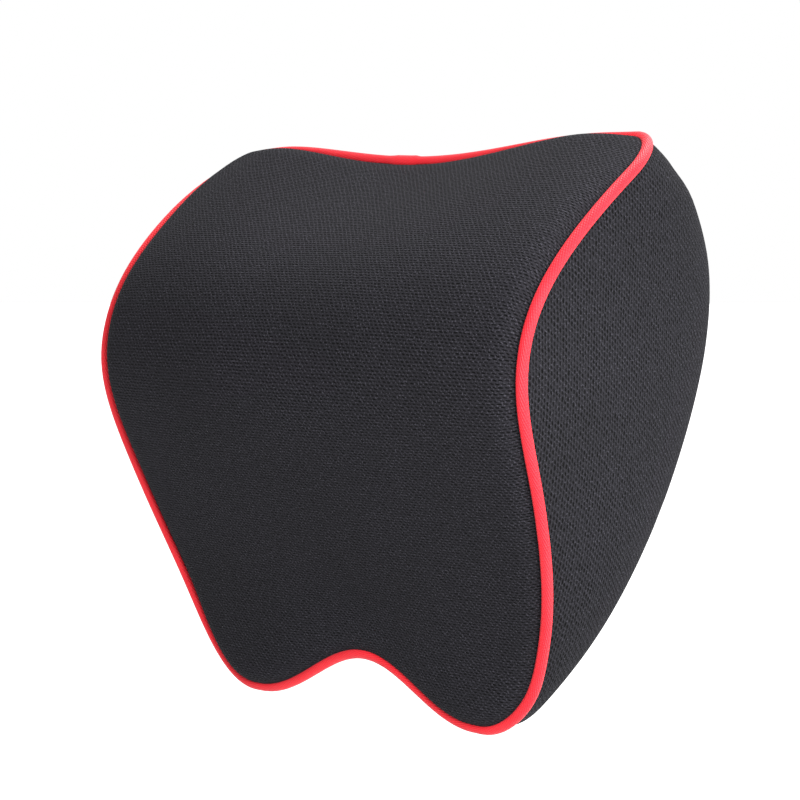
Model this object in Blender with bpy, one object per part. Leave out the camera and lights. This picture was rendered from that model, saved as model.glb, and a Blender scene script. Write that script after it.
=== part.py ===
"""Car neck pillow: a moulded foam core in a knitted cover with a piped front edge.

The pillow stands upright as it hangs on a seat: +X is the sitter's left, -Y is the side
the neck leans on, +Y faces the headrest and +Z is up. The origin is the middle of the
elastic band's outer face, which lies against the headrest. Lengths are in metres.

Front and back are two surfaces over one flat pattern. A pattern point is (x, level), and
level is its height before the top edge dips and the foot is notched.
"""

import math

import bmesh
import bpy
import numpy as np
from mathutils import Matrix, Vector

MM = 0.001

# Outline of the piped edge, seen from the front
TOP_HEIGHT = 262 * MM
SHOULDER_HALF_WIDTH = 142 * MM
WAIST_HALF_WIDTH = 140 * MM
TAPER_HEIGHT = 170 * MM
SHOULDER_RISE = 70 * MM
TOP_CORNER_RADIUS = 17 * MM
LOBE_CENTRE = 76 * MM
TOP_DIP = 7.8 * MM
TOP_DIP_HALF_WIDTH = 112 * MM
TOP_DIP_REACH = 152 * MM
NOTCH_HEIGHT = 24.5 * MM
NOTCH_HALF_WIDTH = 72 * MM
NOTCH_REACH = 90 * MM

# Depths of the side view, measured back from the foremost point of the piped edge
FOOT_SETBACK = 42 * MM
TOP_SETBACK = 88.5 * MM
BACK_DEPTH = 143 * MM
NOSE_SHARE = 0.599
CROWN_SHARE = 0.744

# The piped edge: (share of the height, share of the setback at that end)
EDGE_BELOW_NOSE = ((0.0, 1.0), (0.076, 0.976), (0.172, 0.869), (0.305, 0.607), (0.439, 0.286), (0.515, 0.107))
EDGE_ABOVE_NOSE = ((0.679, 0.036), (0.763, 0.169), (0.859, 0.444), (0.935, 0.73), (1.0, 1.0))

# The back: (share of the height, share of the way from that end's setback to the full depth)
BACK_BELOW_CROWN = ((0.0, 0.0), (0.057, 0.208), (0.153, 0.424), (0.286, 0.627), (0.439, 0.812), (0.592, 0.95))
BACK_ABOVE_CROWN = ((0.84, 0.862), (0.916, 0.505), (0.962, 0.16), (1.0, 0.0))

# How far the filled cover stands proud of the plain surfaces
FRONT_EDGE_ROLL = 12 * MM
FRONT_FILL = 4 * MM
SHOULDER_FILL = 3.5 * MM
SHOULDER_FILL_HEIGHT = 205 * MM
SHOULDER_FILL_REACH = 60 * MM
LOBE_FILL = 3.5 * MM
LOBE_FILL_REACH = 35 * MM
TOP_SLACK = 2.4 * MM
TOP_SLACK_HALF_WIDTH = 60 * MM
CORNER_SLACK = 2 * MM
CORNER_SLACK_REACH = 20 * MM
TOP_SLACK_DEPTH = 40 * MM
SEAM_INSET = 2 * MM
FOOT_SEAM_INSET = 0.6 * MM
SEAM_INSET_HEIGHT = 60 * MM
FRONT_DOME = 5 * MM
BACK_EDGE_ROLL = 10 * MM
BACK_FILL = 2.2 * MM
BACK_FILL_REACH = 60 * MM

# The D-shaped sides
SIDE_CORNER = 24 * MM
SIDE_FULL_DEPTH = 70 * MM
SIDE_BULGE = 3 * MM
SIDE_BULGE_POWER = 0.6
SIDE_SQUARENESS = 2.6
SIDE_SEAM_ANGLE = math.radians(83)
LOBE_CORNER_ANGLE = math.radians(69)

# Cloth, foam and piping
CLOTH = 3 * MM
SEAM_GAP = 0.7 * MM
TIP_GAP = 3 * MM
CORE_GAP = 1.2 * MM
CORE_BACK_GAP = 1.6 * MM
CORE_EDGE_CLEARANCE = 9.5 * MM
PIPING_RADIUS = 2.7 * MM
PROBE = 0.5 * MM
PIPING_GAP = 0.5 * MM
FLANGE_WIDTH = 4.6 * MM
FLANGE_THICKNESS = 1 * MM
SIDE_FLANGE_TILT = math.radians(42)
FOOT_FLANGE_TILT = math.radians(22)
SPLICE_X = -28 * MM
SPLICE_LENGTH = 17 * MM
SPLICE_LIFT = 0.3 * MM

# Zip across the lower back, closed, with its slider at the closed end
ZIP_LEVEL = 95 * MM
ZIP_SLOT = 12 * MM
TAPE_OVERLAP = 5.5 * MM
TAPE_END_OVERLAP = 1 * MM
TAPE_THICKNESS = 0.6 * MM
TAPE_DROP = 0.7 * MM
ZIP_SPLIT = 1.2 * MM
FIT_GAP = 0.3 * MM
COIL_WIDTH = 2.4 * MM
COIL_THICKNESS = 2.2 * MM
COIL_PITCH = 5 * MM
COIL_NOTCH = 0.7 * MM
COIL_END_MARGIN = 8.4 * MM
STOP_LENGTH = 3 * MM
SLIDER_LENGTH = 12 * MM
SLIDER_WALL = 1.2 * MM
SLIDER_PLATE = 1.1 * MM
SLIDER_WEB = 0.6 * MM
SLIDER_GAP = 0.4 * MM
GROOVE_WIDTH = 14 * MM
GROOVE_CLEARANCE = 0.6 * MM
PIN_RADIUS = 0.6 * MM
PIN_CLEARANCE = 0.25 * MM
PIN_HEIGHT = 2.1 * MM
EAR_THICKNESS = 1.1 * MM
EAR_LENGTH = 3.4 * MM
EYE_RADIUS = 1.75 * MM
EYE_WIDTH = 3.4 * MM
PULLER_LENGTH = 21 * MM
PULLER_NECK = 2.5 * MM
PULLER_WIDTH = 6.5 * MM
PULLER_THICKNESS = 1.2 * MM
PULLER_LIE = math.radians(90)

# Elastic band that goes round the headrest
BAND_LEVEL = 190 * MM
BAND_WIDTH = 38 * MM
BAND_LENGTH = 224 * MM
BAND_THICKNESS = 1.6 * MM
BAND_GAP = 0.4 * MM

# Facets
TOP_STEPS = 8
CORNER_STEPS = 2
UPPER_SIDE_STEPS = 8
LOWER_SIDE_STEPS = 5
LOBE_STEPS = 3
FOOT_STEPS = 7
BEAD_SIDES = 9
ROUND_SIDES = 16

BLACK_KNIT = ("black_knit", (0.022, 0.022, 0.024), 0.9, 0.0)
RED_PIPING = ("red_piping", (0.62, 0.012, 0.02), 0.7, 0.0)
FOAM = ("memory_foam", (0.72, 0.66, 0.5), 0.95, 0.0)
ZIP_BLACK = ("zip_black", (0.012, 0.012, 0.013), 0.5, 0.0)
ZIP_METAL = ("zip_metal", (0.03, 0.03, 0.033), 0.35, 0.8)
ELASTIC = ("black_elastic", (0.02, 0.02, 0.022), 0.85, 0.0)


def smooth_step(value):
    """Rise smoothly from 0 to 1 while value goes from 0 to 1."""
    value = np.clip(value, 0.0, 1.0)
    return value * value * (3.0 - 2.0 * value)


def bell(distance):
    """One at zero distance, fading to nothing past about two."""
    return np.exp(-distance * distance)


def natural_spline(points):
    """Return a function that runs smoothly through the points, in order of height."""
    knots, values = np.array(points, float).T
    steps = np.diff(knots)
    count = len(knots)
    system = np.eye(count)
    bends = np.zeros(count)
    for i in range(1, count - 1):
        system[i, i - 1:i + 2] = steps[i - 1], 2 * (steps[i - 1] + steps[i]), steps[i]
        rise = (values[i + 1] - values[i]) / steps[i]
        bends[i] = 6 * (rise - (values[i] - values[i - 1]) / steps[i - 1])
    bends = np.linalg.solve(system, bends)

    def curve(height):
        height = np.asarray(height, float)
        i = np.clip(np.searchsorted(knots, height) - 1, 0, count - 2)
        run = height - knots[i]
        rise = (values[i + 1] - values[i]) / steps[i]
        slope = rise - steps[i] * (2 * bends[i] + bends[i + 1]) / 6
        twist = (bends[i + 1] - bends[i]) / (6 * steps[i])
        return values[i] + run * (slope + run * (bends[i] / 2 + run * twist))

    return curve


def edge_profile():
    """The piped edge in side view: setback by level."""
    below = [(share * TOP_HEIGHT, part * FOOT_SETBACK) for share, part in EDGE_BELOW_NOSE]
    above = [(share * TOP_HEIGHT, part * TOP_SETBACK) for share, part in EDGE_ABOVE_NOSE]
    return natural_spline(below + [(NOSE_SHARE * TOP_HEIGHT, 0.0)] + above)


def back_profile():
    """The back in side view: depth by level."""
    foot, top = BACK_DEPTH - FOOT_SETBACK, BACK_DEPTH - TOP_SETBACK
    below = [(share * TOP_HEIGHT, FOOT_SETBACK + part * foot) for share, part in BACK_BELOW_CROWN]
    above = [(share * TOP_HEIGHT, TOP_SETBACK + part * top) for share, part in BACK_ABOVE_CROWN]
    return natural_spline(below + [(CROWN_SHARE * TOP_HEIGHT, BACK_DEPTH)] + above)


EDGE_DEPTH = edge_profile()
BACK_SURFACE_DEPTH = back_profile()


def half_width(level):
    """Half the width of the piped edge at a level."""
    down = np.clip((TAPER_HEIGHT - level) / TAPER_HEIGHT, 0.0, 1.0)
    taper = LOBE_CENTRE + (WAIST_HALF_WIDTH - LOBE_CENTRE) * np.sqrt(1.0 - down * down)
    flare = (SHOULDER_HALF_WIDTH - WAIST_HALF_WIDTH) * smooth_step((level - TAPER_HEIGHT) / SHOULDER_RISE)
    up = np.clip(level - (TOP_HEIGHT - TOP_CORNER_RADIUS), 0.0, TOP_CORNER_RADIUS)
    corner = TOP_CORNER_RADIUS - np.sqrt(TOP_CORNER_RADIUS ** 2 - up * up)
    return taper + flare - corner


def edge_shift(x, level):
    """How far the top dip and the foot notch move a pattern point up."""
    dip = TOP_DIP * np.cos(np.clip(np.abs(x) / TOP_DIP_HALF_WIDTH, 0, 1) * math.pi / 2) ** 2
    notch = NOTCH_HEIGHT * np.cos(np.clip(np.abs(x) / NOTCH_HALF_WIDTH, 0, 1) * math.pi / 2) ** 2
    dip = dip * smooth_step((level - TOP_HEIGHT + TOP_DIP_REACH) / TOP_DIP_REACH)
    notch = notch * (1 - smooth_step(level / NOTCH_REACH))
    return notch - dip


def front_base(x, level):
    """Plain front surface, before the filling pushes it out."""
    return np.stack([x, EDGE_DEPTH(level), level + edge_shift(x, level)], -1)


def back_base(x, level):
    """Plain back surface, before the filling pushes it out."""
    return np.stack([x, BACK_SURFACE_DEPTH(level), level + edge_shift(x, level)], -1)


def outward(base, x, level, side):
    """Unit normal of a base surface; side is 1 at the front and -1 at the back."""
    step = PROBE
    across = base(x + step, level) - base(x - step, level)
    along = base(x, level + step) - base(x, level - step)
    normal = np.cross(across, along) * side
    return normal / np.linalg.norm(normal, axis=-1, keepdims=True)


def front_fill(x, level):
    """How far the filling pushes the front out, away from its rolled edge."""
    shoulder = SHOULDER_FILL * bell((level - SHOULDER_FILL_HEIGHT) / SHOULDER_FILL_REACH)
    lobe = LOBE_FILL * bell((np.abs(x) - LOBE_CENTRE) / LOBE_FILL_REACH) * bell(level / LOBE_FILL_REACH)
    slack = TOP_SLACK * bell(x / TOP_SLACK_HALF_WIDTH)
    slack = slack + CORNER_SLACK * bell((np.abs(x) - SHOULDER_HALF_WIDTH) / CORNER_SLACK_REACH)
    return FRONT_FILL + shoulder + lobe - slack * bell((TOP_HEIGHT - level) / TOP_SLACK_DEPTH)


def front_dome(x, level):
    """Broad crown of the front, none at its edge."""
    across = np.clip(1 - (x / half_width(level)) ** 2, 0, 1)
    return FRONT_DOME * across * np.sin(math.pi * np.clip(level / TOP_HEIGHT, 0, 1))


def side_depth(level):
    """Depth of the D-shaped side at a level."""
    return BACK_SURFACE_DEPTH(level) - EDGE_DEPTH(level)


def back_fill(level):
    """How far the filling pushes the back out along the top and the foot."""
    return BACK_FILL * bell(side_depth(level) / BACK_FILL_REACH)


class Outline:
    """Samples of the piped edge, clockwise from the top left corner, with their normals."""

    def __init__(self, points, normals):
        self.points = np.array(points)
        self.normals = np.array(normals)
        self.x, self.level = self.points.T
        depth = side_depth(self.level)
        self.squareness = smooth_step(depth / SIDE_FULL_DEPTH)
        level_inset = np.stack([np.sign(self.x), np.zeros(len(points))], -1)
        mix = self.squareness[:, None]
        inset = self.normals * (1 - mix) + level_inset * mix
        self.inset = inset / np.linalg.norm(inset, axis=1, keepdims=True)

    def part(self, indices):
        return Outline(self.points[indices], self.normals[indices])


def side_levels():
    """Levels of the samples down one side, from below the top corner to the lobe."""
    upper, lower = ZIP_LEVEL + ZIP_SLOT / 2, ZIP_LEVEL - ZIP_SLOT / 2
    corner_end = TOP_HEIGHT - TOP_CORNER_RADIUS
    lobe_corner = TAPER_HEIGHT * (1 - math.sin(LOBE_CORNER_ANGLE))
    above = np.linspace(corner_end, upper, UPPER_SIDE_STEPS + 1)
    below = np.linspace(lower, lobe_corner, LOWER_SIDE_STEPS + 1)
    return list(above) + list(below)


def right_half_outline():
    """Points and normals from the top centre, clockwise, to the foot's centre."""
    samples = []
    corner_x = SHOULDER_HALF_WIDTH - TOP_CORNER_RADIUS
    corner_z = TOP_HEIGHT - TOP_CORNER_RADIUS
    for x in np.linspace(0, corner_x, TOP_STEPS + 1)[:-1]:
        samples.append(((x, TOP_HEIGHT), (0.0, 1.0)))
    for angle in np.linspace(math.pi / 2, 0, 2 * CORNER_STEPS + 1)[:-1]:
        normal = (math.cos(angle), math.sin(angle))
        samples.append(((corner_x + TOP_CORNER_RADIUS * normal[0], corner_z + TOP_CORNER_RADIUS * normal[1]), normal))
    step = PROBE
    for level in side_levels():
        slope = float(half_width(level + step) - half_width(level - step)) / (2 * step)
        length = math.hypot(1, slope)
        samples.append(((float(half_width(level)), level), (1 / length, -slope / length)))
    taper_width = WAIST_HALF_WIDTH - LOBE_CENTRE
    for angle in np.linspace(LOBE_CORNER_ANGLE, math.pi / 2, LOBE_STEPS + 1)[1:]:
        point = (LOBE_CENTRE + taper_width * math.cos(angle), TAPER_HEIGHT * (1 - math.sin(angle)))
        normal = np.array((math.cos(angle) / taper_width, -math.sin(angle) / TAPER_HEIGHT))
        samples.append((point, tuple(normal / np.linalg.norm(normal))))
    for x in np.linspace(LOBE_CENTRE, 0, FOOT_STEPS + 1)[1:]:
        samples.append(((x, 0.0), (0.0, -1.0)))
    return samples


def full_outline():
    """The whole piped edge, starting at the middle of the top left corner."""
    right = right_half_outline()
    left = [((-x, level), (-nx, nz)) for (x, level), (nx, nz) in right[-2:0:-1]]
    samples = right + left
    start = -(TOP_STEPS + CORNER_STEPS)
    samples = samples[start:] + samples[:start]
    return Outline([point for point, _ in samples], [normal for _, normal in samples])


COLUMNS = 2 * (TOP_STEPS + CORNER_STEPS)
ROWS = CORNER_STEPS + UPPER_SIDE_STEPS + 1 + LOWER_SIDE_STEPS
ZIP_ROW = CORNER_STEPS + UPPER_SIDE_STEPS
EDGE = full_outline()
TOP_RANGE = np.arange(0, COLUMNS + 1)
RIGHT_RANGE = np.arange(COLUMNS, COLUMNS + ROWS + 1)
FOOT_RANGE = np.arange(COLUMNS + ROWS, 2 * COLUMNS + ROWS + 1)


def inset_pattern(base, edge, distance):
    """Pattern points that lie a real distance inside the edge, measured on the surface."""
    step = PROBE
    inner = edge.points - edge.inset * step
    stretch = np.linalg.norm(base(*inner.T) - base(edge.x, edge.level), axis=1) / step
    return edge.points[:, None, :] - edge.inset[:, None, :] * (distance / stretch[:, None])[..., None]


def front_path(edge, angle):
    """Front surface from the piping (angle 0) over its rolled edge (angle 90 degrees)."""
    seam = FOOT_SEAM_INSET + (SEAM_INSET - FOOT_SEAM_INSET) * smooth_step(edge.level / SEAM_INSET_HEIGHT)
    pattern = inset_pattern(front_base, edge, seam[:, None] + FRONT_EDGE_ROLL * (1 - np.cos(angle)))
    x, level = pattern[..., 0], pattern[..., 1]
    fill = front_fill(x, level) * np.sin(angle) + front_dome(x, level)
    return front_base(x, level) + outward(front_base, x, level, 1) * fill[..., None], pattern


def back_path(edge, angle):
    """Side and back surface from the piping (angle 0) to the flat of the back (90 degrees)."""
    power = 2 / (2 + (SIDE_SQUARENESS - 2) * edge.squareness[:, None])
    reach = BACK_EDGE_ROLL + (SIDE_CORNER - BACK_EDGE_ROLL) * edge.squareness[:, None]
    rise = np.sin(angle) ** power
    pattern = inset_pattern(back_base, edge, reach * (1 - np.cos(angle) ** power))
    x, level = pattern[..., 0], pattern[..., 1]
    position = back_base(x, level) + outward(back_base, x, level, -1) * (back_fill(level) * rise)[..., None]
    start = EDGE_DEPTH(edge.level)[:, None]
    position[..., 1] -= (1 - rise) * (BACK_SURFACE_DEPTH(level) - start)
    bulge = SIDE_BULGE * edge.squareness[:, None] * np.sin(math.pi * np.clip(rise, 0, 1)) ** SIDE_BULGE_POWER
    position[..., 0] += np.sign(edge.x)[:, None] * bulge
    return position, pattern


def edge_direction(edge):
    """Unit direction of the piped edge at each sample, clockwise seen from the front."""
    step = np.stack([edge.normals[:, 1], -edge.normals[:, 0]], -1) * PROBE
    along = front_base(*(edge.points + step).T) - front_base(*(edge.points - step).T)
    return along / np.linalg.norm(along, axis=1, keepdims=True)


def clear_angle(path, edge, clearance):
    """First angle along each sample's path that lies clear of the piping's centre line."""
    angles = np.tile(np.linspace(0, math.pi / 2, 400), (len(edge.x), 1))
    offset = path(edge, angles)[0] - front_base(edge.x, edge.level)[:, None, :]
    along = edge_direction(edge)[:, None, :]
    offset -= along * np.sum(offset * along, axis=-1, keepdims=True)
    distance = np.linalg.norm(offset, axis=-1)
    return angles[np.arange(len(edge.x)), np.argmax(distance >= clearance, axis=1)]


def spread(start, end, shares):
    """Angles from start to end, one row for each sample."""
    start = np.broadcast_to(start, np.broadcast(start, end).shape)
    return start[:, None] + (end - start)[:, None] * np.array(shares)


def cap_pattern(ring):
    """Pattern grid whose border is the ring, rows level across the pillow."""
    top = ring[:COLUMNS + 1]
    right = ring[COLUMNS:COLUMNS + ROWS + 1]
    foot = ring[COLUMNS + ROWS:2 * COLUMNS + ROWS + 1][::-1]
    left = np.vstack([ring[:1], ring[:COLUMNS * 2 + ROWS - 1:-1]])
    u = np.linspace(0, 1, COLUMNS + 1)[:, None]
    rows = np.arange(ROWS + 1)[:, None, None]
    top_share = np.clip(1 - rows / ZIP_ROW, 0, 1)
    foot_share = np.clip((rows - ZIP_ROW - 1) / (ROWS - ZIP_ROW - 1), 0, 1)
    sides = (1 - u) * left[:, None] + u * right[:, None]
    top_bow = top - (1 - u) * top[0] - u * top[-1]
    foot_bow = foot - (1 - u) * foot[0] - u * foot[-1]
    return sides + top_share * top_bow + foot_share * foot_bow


def front_cap(grid):
    x, level = grid[..., 0], grid[..., 1]
    fill = front_fill(x, level) + front_dome(x, level)
    return front_base(x, level) + outward(front_base, x, level, 1) * fill[..., None]


def back_cap(grid):
    x, level = grid[..., 0], grid[..., 1]
    return back_base(x, level) + outward(back_base, x, level, -1) * back_fill(level)[..., None]


class Sheet:
    """Vertices and faces of one surface, gathered as grids that share borders."""

    def __init__(self):
        self.points = []
        self.faces = []

    def add(self, points):
        start = len(self.points)
        self.points.extend(map(tuple, points))
        return np.arange(start, len(self.points))

    def rings(self, positions):
        """Add closed rings, one for each angle; returns their indices as (sample, angle)."""
        samples, angles = positions.shape[:2]
        index = self.add(positions.reshape(-1, 3)).reshape(samples, angles)
        self.band(np.vstack([index, index[:1]]))
        return index

    def band(self, index):
        """Fill the cells of a grid of indices."""
        for i in range(index.shape[0] - 1):
            for j in range(index.shape[1] - 1):
                self.faces.append((index[i, j], index[i + 1, j], index[i + 1, j + 1], index[i, j + 1]))

    def cap(self, ring, positions, open_row=None):
        """Fill the inside of a ring with a grid, leaving one row open if asked."""
        index = np.empty((ROWS + 1, COLUMNS + 1), int)
        index[0] = ring[:COLUMNS + 1]
        index[:, -1] = ring[COLUMNS:COLUMNS + ROWS + 1]
        index[-1] = ring[COLUMNS + ROWS:2 * COLUMNS + ROWS + 1][::-1]
        index[1:, 0] = ring[:COLUMNS * 2 + ROWS - 1:-1]
        inner = self.add(positions[1:-1, 1:-1].reshape(-1, 3))
        index[1:-1, 1:-1] = inner.reshape(ROWS - 1, COLUMNS - 1)
        for row in range(ROWS):
            if row != open_row:
                self.band(index[row:row + 2].T)

    def shrink(self, distances):
        """Move each vertex inwards along its normal by its distance."""
        points = np.array(self.points)
        quads = np.array(self.faces)
        normals = np.zeros_like(points)
        spans = np.cross(points[quads[:, 2]] - points[quads[:, 0]], points[quads[:, 3]] - points[quads[:, 1]])
        for corner in range(4):
            np.add.at(normals, quads[:, corner], spans)
        normals /= np.linalg.norm(normals, axis=1, keepdims=True)
        self.points = list(map(tuple, points - normals * np.asarray(distances)[:, None]))

    def turn_over(self):
        self.faces = [face[::-1] for face in self.faces]


ROLL_SHARES = (0, 0.28, 0.6, 1)
SIDE_SHARES = (0, 0.12, 0.28, 0.46, 0.64, 0.8, 0.92, 0.985, 1)
BACK_SHARES = (0, 0.14, 0.5, 1)


def front_sheet(clearance, shares):
    """The front surface inside a clearance round the piping."""
    sheet = Sheet()
    start = clear_angle(front_path, EDGE, clearance)
    positions, pattern = front_path(EDGE, spread(start, math.pi / 2, shares))
    ring = sheet.rings(positions)
    sheet.cap(ring[:, -1], front_cap(cap_pattern(pattern[:, -1])))
    return sheet, ring


def back_panel_sheet(clearance):
    """The back with its zip slot, reaching the piping along the top and the foot."""
    sheet = Sheet()
    seam = SIDE_SEAM_ANGLE + SEAM_GAP / SIDE_CORNER
    positions, pattern = back_path(EDGE, spread(np.full(len(EDGE.x), seam), math.pi / 2, BACK_SHARES))
    ring = sheet.rings(positions)
    sheet.cap(ring[:, -1], back_cap(cap_pattern(pattern[:, -1])), open_row=ZIP_ROW)
    for indices in (TOP_RANGE, FOOT_RANGE):
        edge = EDGE.part(indices)
        start = clear_angle(back_path, edge, clearance)
        positions = back_path(edge, spread(start, seam, ROLL_SHARES))[0][:, :-1]
        strip = sheet.add(positions.reshape(-1, 3)).reshape(len(indices), -1)
        sheet.band(np.hstack([strip, ring[indices, :1]]))
    return sheet


def side_panel_sheet(clearance, side):
    """One D-shaped side between the piping and the back seam; side is 1 or -1 in X."""
    edge = EDGE.part(RIGHT_RANGE)
    for end, neighbour in ((0, 1), (-1, -2)):
        share = TIP_GAP / np.linalg.norm(edge.points[neighbour] - edge.points[end])
        edge.points[end] += (edge.points[neighbour] - edge.points[end]) * share
        edge.normals[end] += (edge.normals[neighbour] - edge.normals[end]) * share
    edge = Outline(edge.points, edge.normals)
    start = clear_angle(back_path, edge, clearance)
    positions = back_path(edge, spread(start, SIDE_SEAM_ANGLE - SEAM_GAP / SIDE_CORNER, SIDE_SHARES))[0]
    positions = positions * (side, 1, 1)
    sheet = Sheet()
    sheet.band(sheet.add(positions.reshape(-1, 3)).reshape(len(edge.x), -1))
    if side < 0:
        sheet.turn_over()
    return sheet


def core_sheet():
    """The foam: the cover's surfaces moved inwards and joined behind the piping's flange."""
    front, front_ring = front_sheet(CORE_EDGE_CLEARANCE, (0, 1))
    front.turn_over()
    front.shrink(np.full(len(front.points), CLOTH + CORE_GAP))
    back = Sheet()
    start = clear_angle(back_path, EDGE, CORE_EDGE_CLEARANCE)
    shares = SIDE_SHARES
    positions, pattern = back_path(EDGE, spread(start, math.pi / 2, shares))
    back_ring = back.rings(positions)
    back.cap(back_ring[:, -1], back_cap(cap_pattern(pattern[:, -1])))
    depth = np.full(len(back.points), CLOTH + CORE_BACK_GAP)
    side_share = np.minimum(np.array(shares) / shares[-2], 1) * EDGE.squareness[:, None]
    flat_share = np.where(EDGE.squareness[:, None] > 0, side_share ** 4, 1)
    depth[back_ring.ravel()] = (CLOTH + CORE_GAP + (CORE_BACK_GAP - CORE_GAP) * flat_share).ravel()
    back.shrink(depth)
    core = Sheet()
    core.points = front.points + back.points
    core.faces = list(front.faces)
    offset = len(front.points)
    core.faces += [tuple(vertex + offset for vertex in face) for face in back.faces]
    join = np.stack([back_ring[:, 0] + offset, front_ring[:, 0]], -1)
    core.band(np.vstack([join, join[:1]])[:, ::-1])
    return core


def flange_tilt(level, squareness):
    """How far the sewn flange leans back, to lie between the front and the other panels."""
    foot = FOOT_FLANGE_TILT * (level < TOP_HEIGHT / 2)
    return foot + (SIDE_FLANGE_TILT - foot) * squareness


def piping_section(lift, tilt):
    """Bead and sewn flange, as points (outward, forward) round the section."""
    neck = math.asin(FLANGE_THICKNESS / 2 / PIPING_RADIUS)
    angles = np.linspace(math.pi - neck, neck - math.pi, BEAD_SIDES)
    radius = PIPING_RADIUS + lift * np.clip(np.cos(angles) + 0.2, 0, 1)
    bead = np.stack([np.cos(angles), np.sin(angles)], -1) * radius[:, None]
    half = FLANGE_THICKNESS / 2
    section = np.vstack([bead, [(-FLANGE_WIDTH, -half), (-FLANGE_WIDTH, half)]])
    turn = np.array(((math.cos(tilt), math.sin(tilt)), (-math.sin(tilt), math.cos(tilt))))
    return section @ turn


def piping_sheet():
    """The piping, swept round the whole edge, with its overlapped ends at the top."""
    step = PROBE
    points, normals = list(EDGE.points), list(EDGE.normals)
    for x in (SPLICE_X, SPLICE_X + SPLICE_LENGTH):
        place = next(i for i, point in enumerate(points) if point[0] > x)
        for side in (step, 0):
            points.insert(place, np.array((x + side - step / 2, TOP_HEIGHT)))
            normals.insert(place, np.array((0.0, 1.0)))
    points, normals = np.array(points), np.array(normals)
    edge = Outline(points, normals)
    centre = front_base(*points.T)
    along = edge_direction(edge)
    out = np.stack([-along[:, 2], np.zeros(len(along)), along[:, 0]], -1)
    out /= np.linalg.norm(out, axis=1, keepdims=True)
    forward = np.cross(along, out)
    forward *= -np.sign(forward[:, 1:2])
    overlapped = (points[:, 1] == TOP_HEIGHT) & (points[:, 0] > SPLICE_X) \
        & (points[:, 0] < SPLICE_X + SPLICE_LENGTH)
    rows = []
    for i in range(len(points)):
        tilt = flange_tilt(edge.level[i], edge.squareness[i])
        section = piping_section(SPLICE_LIFT if overlapped[i] else 0.0, tilt)
        rows.append(centre[i] + section[:, :1] * out[i] + section[:, 1:] * forward[i])
    sheet = Sheet()
    index = sheet.add(np.array(rows).reshape(-1, 3)).reshape(len(rows), -1)
    index = np.hstack([index, index[:, :1]])
    sheet.band(np.vstack([index, index[:1]]))
    return sheet


def material(finish):
    name, colour, roughness, metallic = finish
    if name in bpy.data.materials:
        return bpy.data.materials[name]
    made = bpy.data.materials.new(name)
    made.use_nodes = True
    shader = made.node_tree.nodes["Principled BSDF"]
    shader.inputs["Base Color"].default_value = (*colour, 1)
    shader.inputs["Roughness"].default_value = roughness
    shader.inputs["Metallic"].default_value = metallic
    return made


def add_object(name, mesh, finish, parent, place=Matrix.Identity(4), smooth_angle=None):
    mesh.materials.append(material(finish))
    made = bpy.data.objects.new(name, mesh)
    bpy.context.scene.collection.objects.link(made)
    made.parent = parent
    made.matrix_local = place
    if smooth_angle is not None:
        mesh.shade_smooth()
        mesh.set_sharp_from_angle(angle=smooth_angle)
    return made


def sheet_mesh(name, sheet):
    """A mesh of the sheet, its faces turned to point out of the pillow."""
    mesh = bpy.data.meshes.new(name)
    faces = [tuple(int(vertex) for vertex in face) for face in sheet.faces]
    mesh.from_pydata(sheet.points, [], faces)
    mesh.validate()
    return mesh


def face_outwards(mesh, towards):
    """Turn an open sheet over if its faces don't point in the given direction."""
    shape = bmesh.new()
    shape.from_mesh(mesh)
    facing = sum((face.normal * face.calc_area() for face in shape.faces), Vector())
    if facing.dot(towards) < 0:
        bmesh.ops.reverse_faces(shape, faces=shape.faces)
    shape.to_mesh(mesh)
    shape.free()


def close_outwards(mesh):
    """Make a closed mesh's faces point out."""
    shape = bmesh.new()
    shape.from_mesh(mesh)
    bmesh.ops.recalc_face_normals(shape, faces=shape.faces)
    shape.to_mesh(mesh)
    shape.free()


def add_cloth(name, sheet, towards, parent):
    """A cloth panel: its outer surface, thickened inwards."""
    mesh = sheet_mesh(name, sheet)
    face_outwards(mesh, Vector(towards))
    panel = add_object(name, mesh, BLACK_KNIT, parent, smooth_angle=math.radians(40))
    thickness = panel.modifiers.new("cloth", "SOLIDIFY")
    thickness.thickness = CLOTH
    thickness.offset = -1
    thickness.use_even_offset = True
    return panel


def build_cover(parent):
    clearance = PIPING_RADIUS + PIPING_GAP
    add_cloth("front_panel", front_sheet(clearance, ROLL_SHARES)[0], (0, -1, 0), parent)
    add_cloth("back_panel", back_panel_sheet(clearance), (0, 1, 0), parent)
    add_cloth("right_side_panel", side_panel_sheet(clearance, 1), (1, 0, 0), parent)
    add_cloth("left_side_panel", side_panel_sheet(clearance, -1), (-1, 0, 0), parent)
    mesh = sheet_mesh("piping", piping_sheet())
    close_outwards(mesh)
    add_object("piping", mesh, RED_PIPING, parent, smooth_angle=math.radians(50))


def build_core(parent):
    mesh = sheet_mesh("foam_core", core_sheet())
    close_outwards(mesh)
    return add_object("foam_core", mesh, FOAM, parent, smooth_angle=math.radians(50))


def box(name, low, high):
    """A block between two corners, in zip or band coordinates."""
    mesh = bpy.data.meshes.new(name)
    shape = bmesh.new()
    middle = [(a + b) / 2 for a, b in zip(low, high)]
    sizes = [b - a for a, b in zip(low, high)]
    place = Matrix.Translation(middle) @ Matrix.Diagonal((*sizes, 1))
    bmesh.ops.create_cube(shape, size=1, matrix=place)
    shape.to_mesh(mesh)
    shape.free()
    return mesh


def cross_rod(name, radius, length, height):
    """A rod that lies across the zip at a height over it."""
    mesh = bpy.data.meshes.new(name)
    shape = bmesh.new()
    place = Matrix.Translation((0, 0, height)) @ Matrix.Rotation(math.pi / 2, 4, "X")
    bmesh.ops.create_cone(shape, cap_ends=True, segments=ROUND_SIDES, radius1=radius, radius2=radius,
                          depth=length, matrix=place)
    shape.to_mesh(mesh)
    shape.free()
    return mesh


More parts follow.
